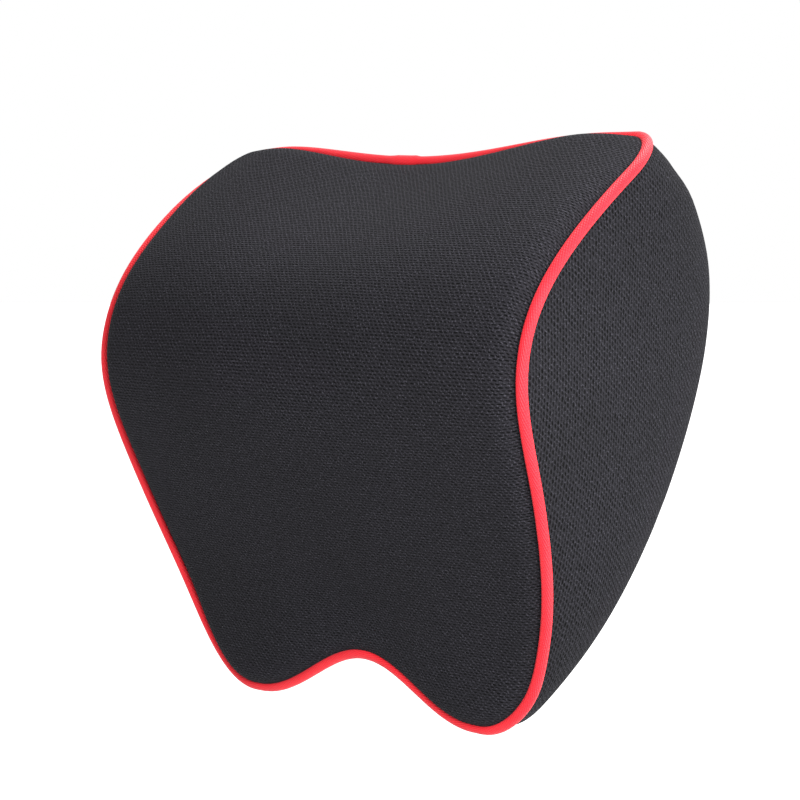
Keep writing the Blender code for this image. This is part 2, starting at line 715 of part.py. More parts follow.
def extrusion(name, section, low, high, axis):
    """A closed section swept straight along the zip (axis 0) or across it (axis 1)."""
    count = len(section)
    points = []
    for end in (low, high):
        for a, b in section:
            points.append((end, a, b) if axis == 0 else (a, end, b))
    faces = [tuple(range(count)), tuple(range(2 * count - 1, count - 1, -1))]
    for i in range(count):
        j = (i + 1) % count
        faces.append((j, i, i + count, j + count))
    mesh = bpy.data.meshes.new(name)
    mesh.from_pydata(points, [], faces)
    close_outwards(mesh)
    return mesh


def shape_with(target, tool_mesh, operation):
    """Join a hidden tool to an object, or cut it out of it."""
    tool = bpy.data.objects.new(tool_mesh.name, tool_mesh)
    bpy.context.scene.collection.objects.link(tool)
    tool.parent = target
    tool.hide_render = True
    tool.display_type = "WIRE"
    step = target.modifiers.new(tool_mesh.name, "BOOLEAN")
    step.object = tool
    step.operation = operation
    step.solver = "EXACT"


def zip_place():
    """Zip coordinates: X along the zip to the open end, Y up the slope, Z out of the back."""
    zero = np.zeros(1)
    upper = back_cap(np.stack([zero, zero + ZIP_LEVEL + ZIP_SLOT / 2], -1))[0]
    lower = back_cap(np.stack([zero, zero + ZIP_LEVEL - ZIP_SLOT / 2], -1))[0]
    up = Vector(upper - lower)
    slot = up.length
    up.normalize()
    along = Vector((-1, 0, 0))
    turn = Matrix((along, up, along.cross(up))).transposed().to_4x4()
    return Matrix.Translation((upper + lower) / 2) @ turn, slot


class ZipHeights:
    """Heights in the zip's section, measured out of the back from the cover's face."""

    tape_top = -CLOTH - TAPE_DROP
    tape_foot = tape_top - TAPE_THICKNESS
    coil_foot = tape_top + FIT_GAP
    coil_top = coil_foot + COIL_THICKNESS
    plate_foot = coil_top + SLIDER_GAP
    plate_top = plate_foot + SLIDER_PLATE
    lower_plate_top = tape_foot - FIT_GAP
    lower_plate_foot = lower_plate_top - SLIDER_PLATE
    groove_foot = lower_plate_foot - GROOVE_CLEARANCE
    pin = plate_top + PIN_HEIGHT


def slot_half_length():
    """Half the length of the zip's slot: the flat of the back at the zip."""
    return float(half_width(ZIP_LEVEL)) - SIDE_CORNER


def coil_length():
    return 2 * (slot_half_length() - COIL_END_MARGIN)


def build_tapes_and_coils(parent, place, slot):
    reach = slot_half_length() + TAPE_END_OVERLAP
    inner, outer = ZIP_SPLIT / 2, slot / 2 + TAPE_OVERLAP
    for name, side in (("upper", 1), ("lower", -1)):
        across = sorted((side * inner, side * outer))
        tape = box("zip_tape_" + name, (-reach, across[0], ZipHeights.tape_foot),
                   (reach, across[1], ZipHeights.tape_top))
        add_object("zip_tape_" + name, tape, ZIP_BLACK, parent, place)
        across = sorted((side * inner, side * (inner + COIL_WIDTH)))
        coil = extrusion("zip_coil_" + name, coil_section(), across[0], across[1], 1)
        add_object("zip_coil_" + name, coil, ZIP_BLACK, parent, place)


def coil_section():
    """Side view of one coil strand: flat underneath, notched between its turns on top."""
    turns = round(coil_length() / COIL_PITCH)
    start = -coil_length() / 2
    pitch = coil_length() / turns
    points = [(start, ZipHeights.coil_foot), (-start, ZipHeights.coil_foot), (-start, ZipHeights.coil_top)]
    for turn in range(turns - 1, 0, -1):
        middle = start + turn * pitch
        notch = ZipHeights.coil_top - COIL_NOTCH
        points.append((middle + 0.12 * pitch, ZipHeights.coil_top))
        points.append((middle, notch))
        points.append((middle - 0.12 * pitch, ZipHeights.coil_top))
    points.append((start, ZipHeights.coil_top))
    return points


def build_stops(parent, place):
    half = ZIP_SPLIT / 2 + COIL_WIDTH
    for name, side in (("closed", -1), ("open", 1)):
        near = coil_length() / 2 + FIT_GAP
        along = sorted((side * near, side * (near + STOP_LENGTH)))
        stop = box("zip_stop_" + name, (along[0], -half, ZipHeights.coil_foot),
                   (along[1], half, ZipHeights.coil_top))
        add_object("zip_stop_" + name, stop, ZIP_METAL, parent, place)


def slider_section():
    """End view of the slider: two plates on a thin web, the upper one with side walls."""
    z = ZipHeights
    wall_in = ZIP_SPLIT / 2 + COIL_WIDTH + SLIDER_GAP
    wall_out = wall_in + SLIDER_WALL
    wall_foot = z.tape_top + SLIDER_GAP
    web = SLIDER_WEB / 2
    right = [(wall_out, z.plate_top), (wall_out, wall_foot), (wall_in, wall_foot), (wall_in, z.plate_foot),
             (web, z.plate_foot), (web, z.lower_plate_top), (wall_out, z.lower_plate_top),
             (wall_out, z.lower_plate_foot)]
    return right + [(-a, b) for a, b in reversed(right)]


def build_slider(pillow, place):
    z = ZipHeights
    at_end = place @ Matrix.Translation((-coil_length() / 2 + SLIDER_LENGTH / 2, 0, 0))
    half = SLIDER_LENGTH / 2
    body = extrusion("zip_slider", slider_section(), -half, half, 0)
    slider = add_object("zip_slider", body, ZIP_METAL, pillow, at_end)
    ear_in = EYE_WIDTH / 2 + FIT_GAP
    ear_out = ear_in + EAR_THICKNESS
    for name, side in (("upper", 1), ("lower", -1)):
        across = sorted((side * ear_in, side * ear_out))
        ear = box("ear_" + name, (-EAR_LENGTH / 2, across[0], z.plate_top - SLIDER_PLATE / 2),
                  (EAR_LENGTH / 2, across[1], z.pin + 2 * PIN_RADIUS))
        shape_with(slider, ear, "UNION")
    pin = cross_rod("pin", PIN_RADIUS, 2 * ear_in + EAR_THICKNESS, z.pin)
    shape_with(slider, pin, "UNION")
    half = PULLER_THICKNESS / 2
    tag = box("zip_puller", (-half, -PULLER_WIDTH / 2, PULLER_NECK),
              (half, PULLER_WIDTH / 2, PULLER_LENGTH))
    lying_on_coil = Matrix.Translation((0, 0, z.pin)) @ Matrix.Rotation(PULLER_LIE, 4, "Y")
    puller = add_object("zip_puller", tag, ZIP_METAL, slider, lying_on_coil)
    neck = box("neck", (-half, -EYE_WIDTH / 2, 0), (half, EYE_WIDTH / 2, 2 * PULLER_NECK))
    shape_with(puller, neck, "UNION")
    shape_with(puller, cross_rod("eye", EYE_RADIUS, EYE_WIDTH, 0), "UNION")
    shape_with(puller, cross_rod("eye_hole", PIN_RADIUS + PIN_CLEARANCE, 2 * EYE_WIDTH, 0), "DIFFERENCE")


def build_zip(pillow, core):
    place, slot = zip_place()
    build_tapes_and_coils(pillow, place, slot)
    build_stops(pillow, place)
    build_slider(pillow, place)
    reach = slot_half_length()
    groove = box("zip_groove", (-reach, -GROOVE_WIDTH / 2, ZipHeights.groove_foot),
                 (reach, GROOVE_WIDTH / 2, 0))
    groove.transform(place)
    shape_with(core, groove, "DIFFERENCE")


def band_face():
    """Depth of the band's outer face, which lies against the headrest."""
    levels = BAND_LEVEL + np.linspace(-BAND_WIDTH / 2, BAND_WIDTH / 2, 21)
    surface = back_cap(np.stack([np.zeros(21), levels], -1))
    return float(surface[:, 1].max()) + BAND_GAP + BAND_THICKNESS


def build_band(parent):
    middle = BAND_LEVEL + float(edge_shift(np.zeros(1), np.array([BAND_LEVEL]))[0])
    band = box("elastic_band", (-BAND_LENGTH / 2, band_face() - BAND_THICKNESS, middle - BAND_WIDTH / 2),
               (BAND_LENGTH / 2, band_face(), middle + BAND_WIDTH / 2))
    add_object("elastic_band", band, ELASTIC, parent)
    return middle


def main():
    for thing in list(bpy.data.objects):
        bpy.data.objects.remove(thing, do_unlink=True)
    pillow = bpy.data.objects.new("pillow", None)
    bpy.context.scene.collection.objects.link(pillow)
    core = build_core(pillow)
    build_cover(pillow)
    build_zip(pillow, core)
    middle = build_band(pillow)
    pillow.location = (0, -band_face(), -middle)


main()
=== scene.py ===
"""Car neck pillow, dressed: mesh-knit cover, red piping, zip and elastic band.

The cover is modelled directly. Moulded foam fills it tightly, so it shows no folds, and a
cloth simulation would only blur its measured form. Lengths are in metres.
"""

import math

import bpy
import numpy as np
from mathutils import Matrix, Vector
from mathutils.kdtree import KDTree


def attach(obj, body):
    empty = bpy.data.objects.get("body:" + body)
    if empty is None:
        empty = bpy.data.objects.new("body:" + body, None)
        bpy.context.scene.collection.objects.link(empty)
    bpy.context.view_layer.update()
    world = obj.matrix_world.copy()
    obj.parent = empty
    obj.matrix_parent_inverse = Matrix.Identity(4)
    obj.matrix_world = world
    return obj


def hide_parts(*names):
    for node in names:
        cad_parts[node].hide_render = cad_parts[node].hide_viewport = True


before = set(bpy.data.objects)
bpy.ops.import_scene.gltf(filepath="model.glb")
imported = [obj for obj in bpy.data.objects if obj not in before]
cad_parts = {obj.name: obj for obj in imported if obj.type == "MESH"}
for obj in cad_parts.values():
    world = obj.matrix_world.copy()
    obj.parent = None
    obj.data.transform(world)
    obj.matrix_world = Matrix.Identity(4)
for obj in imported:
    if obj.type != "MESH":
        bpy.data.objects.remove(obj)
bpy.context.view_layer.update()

MM = 0.001

# Outline of the piped edge, as in the CAD
TOP_HEIGHT = 262 * MM
SHOULDER_HALF_WIDTH = 142 * MM
WAIST_HALF_WIDTH = 140 * MM
TAPER_HEIGHT = 170 * MM
SHOULDER_RISE = 70 * MM
TOP_CORNER_RADIUS = 17 * MM
LOBE_CENTRE = 76 * MM
TOP_DIP = 7.8 * MM
TOP_DIP_HALF_WIDTH = 112 * MM
TOP_DIP_REACH = 152 * MM
NOTCH_HEIGHT = 24.5 * MM
NOTCH_HALF_WIDTH = 72 * MM
NOTCH_REACH = 90 * MM

# Depths of the side view, as in the CAD; pairs are (share of the height, share of the depth)
FOOT_SETBACK = 42 * MM
TOP_SETBACK = 88.5 * MM
BACK_DEPTH = 143 * MM
NOSE_SHARE = 0.599
CROWN_SHARE = 0.744
EDGE_BELOW_NOSE = ((0.0, 1.0), (0.076, 0.976), (0.172, 0.869), (0.305, 0.607), (0.439, 0.286),
                   (0.515, 0.107))
EDGE_ABOVE_NOSE = ((0.679, 0.036), (0.763, 0.169), (0.859, 0.444), (0.935, 0.73), (1.0, 1.0))
BACK_BELOW_CROWN = ((0.0, 0.0), (0.057, 0.208), (0.153, 0.424), (0.286, 0.627), (0.439, 0.812),
                    (0.592, 0.95))
BACK_ABOVE_CROWN = ((0.84, 0.862), (0.916, 0.505), (0.962, 0.16), (1.0, 0.0))

# How far the filled cover stands proud of its pattern, and where the sewn cloth lies slack
FRONT_EDGE_ROLL = 12 * MM
FRONT_FILL = 4 * MM
FRONT_DOME = 5 * MM
SHOULDER_FILL = 3.5 * MM
SHOULDER_FILL_HEIGHT = 205 * MM
SHOULDER_FILL_REACH = 60 * MM
LOBE_FILL = 3.5 * MM
LOBE_FILL_REACH = 35 * MM
TOP_SLACK = 2.8 * MM
TOP_SLACK_CENTRE = -16 * MM
TOP_SLACK_HALF_WIDTH = 70 * MM
TOP_SLACK_DEPTH = 40 * MM
TOP_LOBE_FILL = 2 * MM
TOP_LOBE_CENTRE = 105 * MM
TOP_LOBE_REACH = 34 * MM
CORNER_SLACK = 5.0 * MM
CORNER_SLACK_REACH = 21 * MM
LEFT_SLACK = 2.6 * MM
LEFT_SLACK_WIDTH = 22 * MM
LEFT_SLACK_HEIGHT = 216 * MM
LEFT_SLACK_REACH = 28 * MM
BACK_EDGE_ROLL = 10 * MM
BACK_FILL = 2.2 * MM
BACK_FILL_REACH = 60 * MM
SIDE_CORNER = 24 * MM
SIDE_FULL_DEPTH = 70 * MM
SIDE_BULGE = 3 * MM
SIDE_BULGE_POWER = 0.6
SIDE_SQUARENESS = 2.6
SIDE_SEAM_ANGLE = math.radians(83)
LOBE_CORNER_ANGLE = math.radians(69)

# Where the front is sewn inside the piped edge, and the valley that its cloth makes there
SEAM_INSET = 3.1 * MM
FOOT_SEAM_INSET = 0.6 * MM
SEAM_INSET_HEIGHT = 60 * MM
LEFT_SEAM_GAP = 1.5 * MM
LEFT_SEAM_HEIGHT = 75 * MM
LEFT_SEAM_REACH = 50 * MM
HEM_SHARE = 0.4
SEAM_VALLEY = 0.9
SEAM_VALLEY_ANGLE = math.radians(24)

# The drawn-in seams of the sides, the slot's folded edge and the stitches
SEAM_DEPTH = 1.5 * MM
SEAM_REACH = 2.2 * MM
SEAM_SAMPLE = 0.5 * MM
SEAM_FADE = 30 * MM
SEAM_WAY = (-0.65, -0.76, 0)
SLOT_FOLD = 2.6 * MM
STITCH_LENGTH = 2.8 * MM
STITCH_PITCH = 3.5 * MM
STITCH_RADIUS = 0.3 * MM
STITCH_DIP = 6
THREAD_LIFT = 0.1 * MM
THREAD_END_TAPER = 0.4

# Piping and elastic band
PIPING_RADIUS = 2.5 * MM
PIPING_BIAS = 0.35
PIPING_RIB = 1.0 * MM
PIPING_WEFT = 1.3 * MM
SPLICE_X = -28 * MM
SPLICE_LENGTH = 17 * MM
SPLICE_LIFT = 0.5 * MM
SPLICE_BLEND = 1.5 * MM
BAND_LEVEL = 190 * MM
BAND_WIDTH = 38 * MM
BAND_THICKNESS = 1.6 * MM
BAND_GAP = 0.4 * MM
BAND_LENGTH = 224 * MM
BAND_RIBS = 15
BAND_RIB_DEPTH = 0.28 * MM
BAND_RIB_SHARPNESS = 3
BAND_WEFT = 0.9 * MM
BAND_EDGE_ROUNDING = 0.5 * MM
BAND_EDGE_SHARE = 0.03
BAND_STITCH_MARGIN = 3.5 * MM
BAND_STITCH_BOX = 26 * MM
BAND_SEWN_DEPTH = 0.35 * MM
BAND_SEWN_REACH = 1.2 * MM

# Where the sewn cover sits off its pattern: (centre, reach, move), in millimetres
SETTLED = (
    ((-137, 84, 255), 24, (3.0, 0, -2.4)),
    ((-98, 42, 28), 26, (-1.6, 0, -0.8)),
    ((86, 64, 10), 18, (0.3, 0.8, -1.4)),
    ((108, 40, 14), 20, (2.3, 0, -0.4)),
    ((-55, 86, 258), 55, (0, 0, -1.1)),
    ((128, 88, 258), 34, (0, 0, -0.8)),
    ((142, 130, 222), 34, (0, -2.0, 0)),
    ((136, 112, 242), 16, (0.8, 0.9, 0.6)),
    ((140, 128, 132), 44, (0, -1.2, 0)),
    ((-142, 44, 228), 30, (-0.5, 0, 0)),
    ((-36, 42, 24), 34, (0, 0, -1.0)),
    ((-128, 14, 105), 60, (-0.9, 0, -0.6)),
    ((86, 57, 8), 11, (-0.3, 0, -3.2)),
)

# Zip: its place and section follow the CAD, with heights from the cover's face, out of the back
ZIP_LEVEL = 95 * MM
ZIP_SLOT = 12 * MM
COIL_MIDDLE = -2.3 * MM
COIL_HALF_HEIGHT = 0.75 * MM
COIL_INNER = -0.5 * MM
COIL_OUTER = 2.9 * MM
COIL_THREAD = 0.34 * MM
COIL_TURN = 1.9 * MM
COIL_END_MARGIN = 8.4 * MM
COIL_STITCH_INSET = 0.4 * MM
TAPE_FACE = -3.7 * MM
TAPE_THICKNESS = 0.6 * MM
TAPE_OVERLAP = 5.5 * MM
TAPE_END_OVERLAP = 1 * MM
TAPE_MEETING = 0.06 * MM
TAPE_EDGE_ROUNDING = 0.2 * MM
TAPE_RIB = 1.1 * MM
TAPE_RIB_TURN = 2 * MM
TOPSTITCH_INSET = 2.2 * MM
SLOT_END_INSET = 1.3 * MM
METAL_ROUNDING = 0.3 * MM
METAL_ROUNDING_STEPS = 3
METAL_EDGE_ANGLE = math.radians(35)

# Slits of the knit: pitch along a row, and pitch of the rows
FRONT_KNIT = (2.7 * MM, 1.3 * MM)
SIDE_KNIT = (2.75 * MM, 1.7 * MM)

# The knit's unevenness, in shares of a pitch, and its slits, in shares of a cell
ROW_WANDER = 0.6
STEP_WANDER = 0.7
SLIT_HALF_LENGTH = 0.44
SHALLOWEST_SLIT = 0.65
KNIT_RIDGE = 0.3
SPECK_RELIEF = 0.3
# How many times lighter the knit's painted glints are than their thread
SPECK_GLINT_GAIN = 3.0

# How dark the grain of plain finishes is, as a share of their colour
GRAIN_SHADE = 0.6

# Facets of the shown cloth, threads and webbing
TOP_STEPS = 40
CORNER_STEPS = 8
UPPER_SIDE_STEPS = 38
LOWER_SIDE_STEPS = 24
LOBE_STEPS = 16
FOOT_STEPS = 32
ROLL_STEPS = 14
SIDE_STEPS = 30
BACK_EDGE_STEPS = 6
BACK_EDGE_CROWDING = 1.5
EVEN_SIDE_SHARE = 0.965
SIDE_SEAM_SHARES = (0.978, 0.987, 0.993, 0.997, 1.0)
PIPING_SIDES = 18
THREAD_SIDES = 6
STITCH_POINTS = 5
COIL_TURN_STEPS = 12
TAPE_STEPS = 44
TAPE_WIDTH_STEPS = 8
BAND_STEPS = 112
BAND_RIB_STEPS = 8
BAND_UNDER_STEPS = 8

# Steps for lengths and slopes that are measured on the surfaces
SURFACE_STEP = 0.5 * MM
WIDTH_STEP = 0.2 * MM
PROFILE_MARGIN = 20 * MM
PROFILE_SAMPLES = 600
BAND_FACE_SAMPLES = 21

# Floor, and the camera as measured from the photograph, in the pattern's coordinates
FLOOR_REACH = 60.0
FLOOR_LEVEL = -1.2
CAMERA_PLACE = (0.8280, -0.7324, 0.2151)
CAMERA_FORWARD = (-0.7186, 0.6925, -0.0638)
CAMERA_UP = (-0.0460, 0.0443, 0.9980)
CAMERA_LENS = 110.44  # mm, on a sensor 36 mm wide
CAMERA_FAR_CLIP = 50


def smooth_step(value):
    value = np.clip(value, 0.0, 1.0)
    return value * value * (3.0 - 2.0 * value)


def bell(distance):
    """One at zero distance, fading to nothing past about two."""
    return np.exp(-distance * distance)


def hump(height, distance, reach):
    """A smooth rise that fades within about twice its reach."""
    return height * bell(distance / reach)


def unit(vectors):
    return vectors / np.linalg.norm(vectors, axis=-1, keepdims=True)


def running_length(line):
    """Length along a line of points, from the first point to each."""
    steps = np.linalg.norm(np.diff(line, axis=0), axis=1)
    return np.concatenate([[0], np.cumsum(steps)])


def natural_spline(points):
    """Return a function that runs smoothly through the points, in order of height."""
    knots, values = np.array(points, float).T
    steps = np.diff(knots)
    rises = np.diff(values) / steps
    count = len(knots)
    system = np.eye(count)
    bends = np.zeros(count)
    for i in range(1, count - 1):
        system[i, i - 1:i + 2] = steps[i - 1], 2 * (steps[i - 1] + steps[i]), steps[i]
        bends[i] = 6 * (rises[i] - rises[i - 1])
    bends = np.linalg.solve(system, bends)

    def curve(height):
        height = np.asarray(height, float)
        i = np.clip(np.searchsorted(knots, height) - 1, 0, count - 2)
        run = height - knots[i]
        slope = rises[i] - steps[i] * (2 * bends[i] + bends[i + 1]) / 6
        twist = (bends[i + 1] - bends[i]) / (6 * steps[i])
        return values[i] + run * (slope + run * (bends[i] / 2 + run * twist))

    return curve


def edge_profile():
    """The piped edge in side view: setback by level."""
    below = [(share * TOP_HEIGHT, part * FOOT_SETBACK) for share, part in EDGE_BELOW_NOSE]
    above = [(share * TOP_HEIGHT, part * TOP_SETBACK) for share, part in EDGE_ABOVE_NOSE]
    return natural_spline(below + [(NOSE_SHARE * TOP_HEIGHT, 0.0)] + above)


def back_profile():
    """The back in side view: depth by level."""
    foot, top = BACK_DEPTH - FOOT_SETBACK, BACK_DEPTH - TOP_SETBACK
    below = [(share * TOP_HEIGHT, FOOT_SETBACK + part * foot) for share, part in BACK_BELOW_CROWN]
    above = [(share * TOP_HEIGHT, TOP_SETBACK + part * top) for share, part in BACK_ABOVE_CROWN]
    return natural_spline(below + [(CROWN_SHARE * TOP_HEIGHT, BACK_DEPTH)] + above)


EDGE_DEPTH = edge_profile()
BACK_SURFACE_DEPTH = back_profile()


def half_width(level):
    """Half the width of the piped edge at a level."""
    down = np.clip((TAPER_HEIGHT - level) / TAPER_HEIGHT, 0.0, 1.0)
    taper = LOBE_CENTRE + (WAIST_HALF_WIDTH - LOBE_CENTRE) * np.sqrt(1.0 - down * down)
    flare = smooth_step((level - TAPER_HEIGHT) / SHOULDER_RISE)
    up = np.clip(level - (TOP_HEIGHT - TOP_CORNER_RADIUS), 0.0, TOP_CORNER_RADIUS)
    corner = TOP_CORNER_RADIUS - np.sqrt(TOP_CORNER_RADIUS ** 2 - up * up)
    return taper + (SHOULDER_HALF_WIDTH - WAIST_HALF_WIDTH) * flare - corner


SLOT_HALF_LENGTH = float(half_width(ZIP_LEVEL)) - SIDE_CORNER


def edge_shift(x, level):
    """How far the top dip and the foot notch move a pattern point up."""
    dip = TOP_DIP * np.cos(np.clip(np.abs(x) / TOP_DIP_HALF_WIDTH, 0, 1) * math.pi / 2) ** 2
    notch = NOTCH_HEIGHT * np.cos(np.clip(np.abs(x) / NOTCH_HALF_WIDTH, 0, 1) * math.pi / 2) ** 2
    dip = dip * smooth_step((level - TOP_HEIGHT + TOP_DIP_REACH) / TOP_DIP_REACH)
    notch = notch * (1 - smooth_step(level / NOTCH_REACH))
    return notch - dip


def front_base(x, level):
    return np.stack([x, EDGE_DEPTH(level), level + edge_shift(x, level)], -1)


def back_base(x, level):
    return np.stack([x, BACK_SURFACE_DEPTH(level), level + edge_shift(x, level)], -1)


def outward(base, x, level, side):
    """Unit normal of a base surface; side is 1 at the front and -1 at the back."""
    across = base(x + SURFACE_STEP, level) - base(x - SURFACE_STEP, level)
    along = base(x, level + SURFACE_STEP) - base(x, level - SURFACE_STEP)
    return unit(np.cross(across, along) * side)


def raised(base, x, level, side, fill):
    """Points of a base surface, moved outward by the fill."""
    return base(x, level) + outward(base, x, level, side) * fill[..., None]


def top_slack_share(x):
    return bell((x - TOP_SLACK_CENTRE) / TOP_SLACK_HALF_WIDTH)


def front_fill(x, level):
    """How far the front's cloth stands off its base surface, inside its rolled edge."""
    across, below_top = np.abs(x), TOP_HEIGHT - level
    shoulder = hump(SHOULDER_FILL, level - SHOULDER_FILL_HEIGHT, SHOULDER_FILL_REACH)
    lobe = hump(LOBE_FILL, across - LOBE_CENTRE, LOBE_FILL_REACH) * bell(level / LOBE_FILL_REACH)
    slack = TOP_SLACK * top_slack_share(x) - hump(TOP_LOBE_FILL, across - TOP_LOBE_CENTRE, TOP_LOBE_REACH)
    slack = slack * bell(below_top / TOP_SLACK_DEPTH)
    corner = hump(CORNER_SLACK, x - SHOULDER_HALF_WIDTH, CORNER_SLACK_REACH)
    corner = corner * bell(below_top / CORNER_SLACK_REACH)
    left = hump(LEFT_SLACK, x + SHOULDER_HALF_WIDTH, LEFT_SLACK_WIDTH)
    left = left * bell((level - LEFT_SLACK_HEIGHT) / LEFT_SLACK_REACH)
    return FRONT_FILL + shoulder + lobe - slack - corner - left


def front_dome(x, level):
    """How far the whole front bows out, most at its middle."""
    across = np.clip(1 - (x / half_width(level)) ** 2, 0, 1)
    return FRONT_DOME * across * np.sin(math.pi * np.clip(level / TOP_HEIGHT, 0, 1))


def side_depth(level):
    return BACK_SURFACE_DEPTH(level) - EDGE_DEPTH(level)


def back_fill(level):
    return hump(BACK_FILL, side_depth(level), BACK_FILL_REACH)


class Outline:
    """Samples of the piped edge, clockwise from the top left corner, with their normals."""

    def __init__(self, points, normals):
        self.points = np.array(points)
        self.normals = np.array(normals)
        self.x, self.level = self.points.T
        self.squareness = smooth_step(side_depth(self.level) / SIDE_FULL_DEPTH)
        level_inset = np.stack([np.sign(self.x), np.zeros(len(points))], -1)
        mix = self.squareness[:, None]
        self.inset = unit(self.normals * (1 - mix) + level_inset * mix)

    def part(self, indices):
        return Outline(self.points[indices], self.normals[indices])


def side_levels():
    """Levels of the samples down one side, from below the top corner to the lobe."""
    upper, lower = ZIP_LEVEL + ZIP_SLOT / 2, ZIP_LEVEL - ZIP_SLOT / 2
    corner_end = TOP_HEIGHT - TOP_CORNER_RADIUS
    lobe_corner = TAPER_HEIGHT * (1 - math.sin(LOBE_CORNER_ANGLE))
    above = np.linspace(corner_end, upper, UPPER_SIDE_STEPS + 1)
    below = np.linspace(lower, lobe_corner, LOWER_SIDE_STEPS + 1)
    return list(above) + list(below)


def right_half_outline():
    """Points and normals from the top centre, clockwise, to the foot's centre."""
    samples = []
    corner_x = SHOULDER_HALF_WIDTH - TOP_CORNER_RADIUS
    corner_z = TOP_HEIGHT - TOP_CORNER_RADIUS
    for x in np.linspace(0, corner_x, TOP_STEPS + 1)[:-1]:
        samples.append(((x, TOP_HEIGHT), (0.0, 1.0)))
    for angle in np.linspace(math.pi / 2, 0, 2 * CORNER_STEPS + 1)[:-1]:
        across, up = math.cos(angle), math.sin(angle)
        point = (corner_x + TOP_CORNER_RADIUS * across, corner_z + TOP_CORNER_RADIUS * up)
        samples.append((point, (across, up)))
    for level in side_levels():
        widening = float(half_width(level + WIDTH_STEP) - half_width(level - WIDTH_STEP))
        slope = widening / (2 * WIDTH_STEP)
        length = math.hypot(1, slope)
        samples.append(((float(half_width(level)), level), (1 / length, -slope / length)))
    taper_width = WAIST_HALF_WIDTH - LOBE_CENTRE
    for angle in np.linspace(LOBE_CORNER_ANGLE, math.pi / 2, LOBE_STEPS + 1)[1:]:
        point = (LOBE_CENTRE + taper_width * math.cos(angle), TAPER_HEIGHT * (1 - math.sin(angle)))
        normal = np.array((math.cos(angle) / taper_width, -math.sin(angle) / TAPER_HEIGHT))
        samples.append((point, tuple(normal / np.linalg.norm(normal))))
    for x in np.linspace(LOBE_CENTRE, 0, FOOT_STEPS + 1)[1:]:
        samples.append(((x, 0.0), (0.0, -1.0)))
    return samples


def full_outline():
    right = right_half_outline()
    left = [((-x, level), (-nx, nz)) for (x, level), (nx, nz) in right[-2:0:-1]]
    samples = right + left
    start = -(TOP_STEPS + CORNER_STEPS)
    samples = samples[start:] + samples[:start]
    return Outline([point for point, _ in samples], [normal for _, normal in samples])


COLUMNS = 2 * (TOP_STEPS + CORNER_STEPS)
ROWS = CORNER_STEPS + UPPER_SIDE_STEPS + 1 + LOWER_SIDE_STEPS
ZIP_ROW = CORNER_STEPS + UPPER_SIDE_STEPS
EDGE = full_outline()
TOP_RANGE = np.arange(0, COLUMNS + 1)
RIGHT_RANGE = np.arange(COLUMNS, COLUMNS + ROWS + 1)
FOOT_RANGE = np.arange(COLUMNS + ROWS, 2 * COLUMNS + ROWS + 1)


def inset_pattern(base, edge, distance):
    """Pattern points that lie a real distance inside the edge, measured on the surface."""
    inner = edge.points - edge.inset * SURFACE_STEP
    stretch = np.linalg.norm(base(*inner.T) - base(edge.x, edge.level), axis=1) / SURFACE_STEP
    reach = distance / stretch[:, None]
    return edge.points[:, None, :] - edge.inset[:, None, :] * reach[..., None]


def front_seam_inset(edge):
    """How far inside the piped edge the front is sewn, at each sample."""
    inset = FOOT_SEAM_INSET + (SEAM_INSET - FOOT_SEAM_INSET) * smooth_step(edge.level / SEAM_INSET_HEIGHT)
    top = smooth_step((edge.level - TOP_HEIGHT + TOP_SLACK_DEPTH) / TOP_SLACK_DEPTH)
    inset = inset * (1 - top * (1 - top_slack_share(edge.x)))
    on_left = edge.x < -LOBE_CENTRE
    return inset + hump(LEFT_SEAM_GAP, edge.level - LEFT_SEAM_HEIGHT, LEFT_SEAM_REACH) * on_left


def front_path(edge, angle):
    """Front surface from the piping (angle 0) over its rolled edge (angle 90 degrees)."""
    seam = front_seam_inset(edge)[:, None]
    hem = np.where(angle > 0, seam, seam * HEM_SHARE)
    pattern = inset_pattern(front_base, edge, hem + FRONT_EDGE_ROLL * (1 - np.cos(angle)))
    x, level = pattern[..., 0], pattern[..., 1]
    rise = np.sin(angle) * (1 - SEAM_VALLEY * bell(angle / SEAM_VALLEY_ANGLE))
    fill = front_fill(x, level) * rise + front_dome(x, level)
    return raised(front_base, x, level, 1, fill), pattern


def back_path(edge, angle):
    """Side and back surface from the piping (angle 0) to the flat of the back (90 degrees)."""
    square = edge.squareness[:, None]
    power = 2 / (2 + (SIDE_SQUARENESS - 2) * square)
    reach = BACK_EDGE_ROLL + (SIDE_CORNER - BACK_EDGE_ROLL) * square
    rise = np.sin(angle) ** power
    pattern = inset_pattern(back_base, edge, reach * (1 - np.cos(angle) ** power))
    x, level = pattern[..., 0], pattern[..., 1]
    position = raised(back_base, x, level, -1, back_fill(level) * rise)
    start = EDGE_DEPTH(edge.level)[:, None]
    position[..., 1] -= (1 - rise) * (BACK_SURFACE_DEPTH(level) - start)
    bulge = SIDE_BULGE * square * np.sin(math.pi * np.clip(rise, 0, 1)) ** SIDE_BULGE_POWER
    position[..., 0] += np.sign(edge.x)[:, None] * bulge
    return position, pattern


def ring_sides(ring):
    """The top, right, foot and left of a ring of samples, each read rightward or down."""
    top = ring[:COLUMNS + 1]
    right = ring[COLUMNS:COLUMNS + ROWS + 1]
    foot = ring[COLUMNS + ROWS:2 * COLUMNS + ROWS + 1][::-1]
    left = np.concatenate([ring[:1], ring[:COLUMNS * 2 + ROWS - 1:-1]])
    return top, right, foot, left


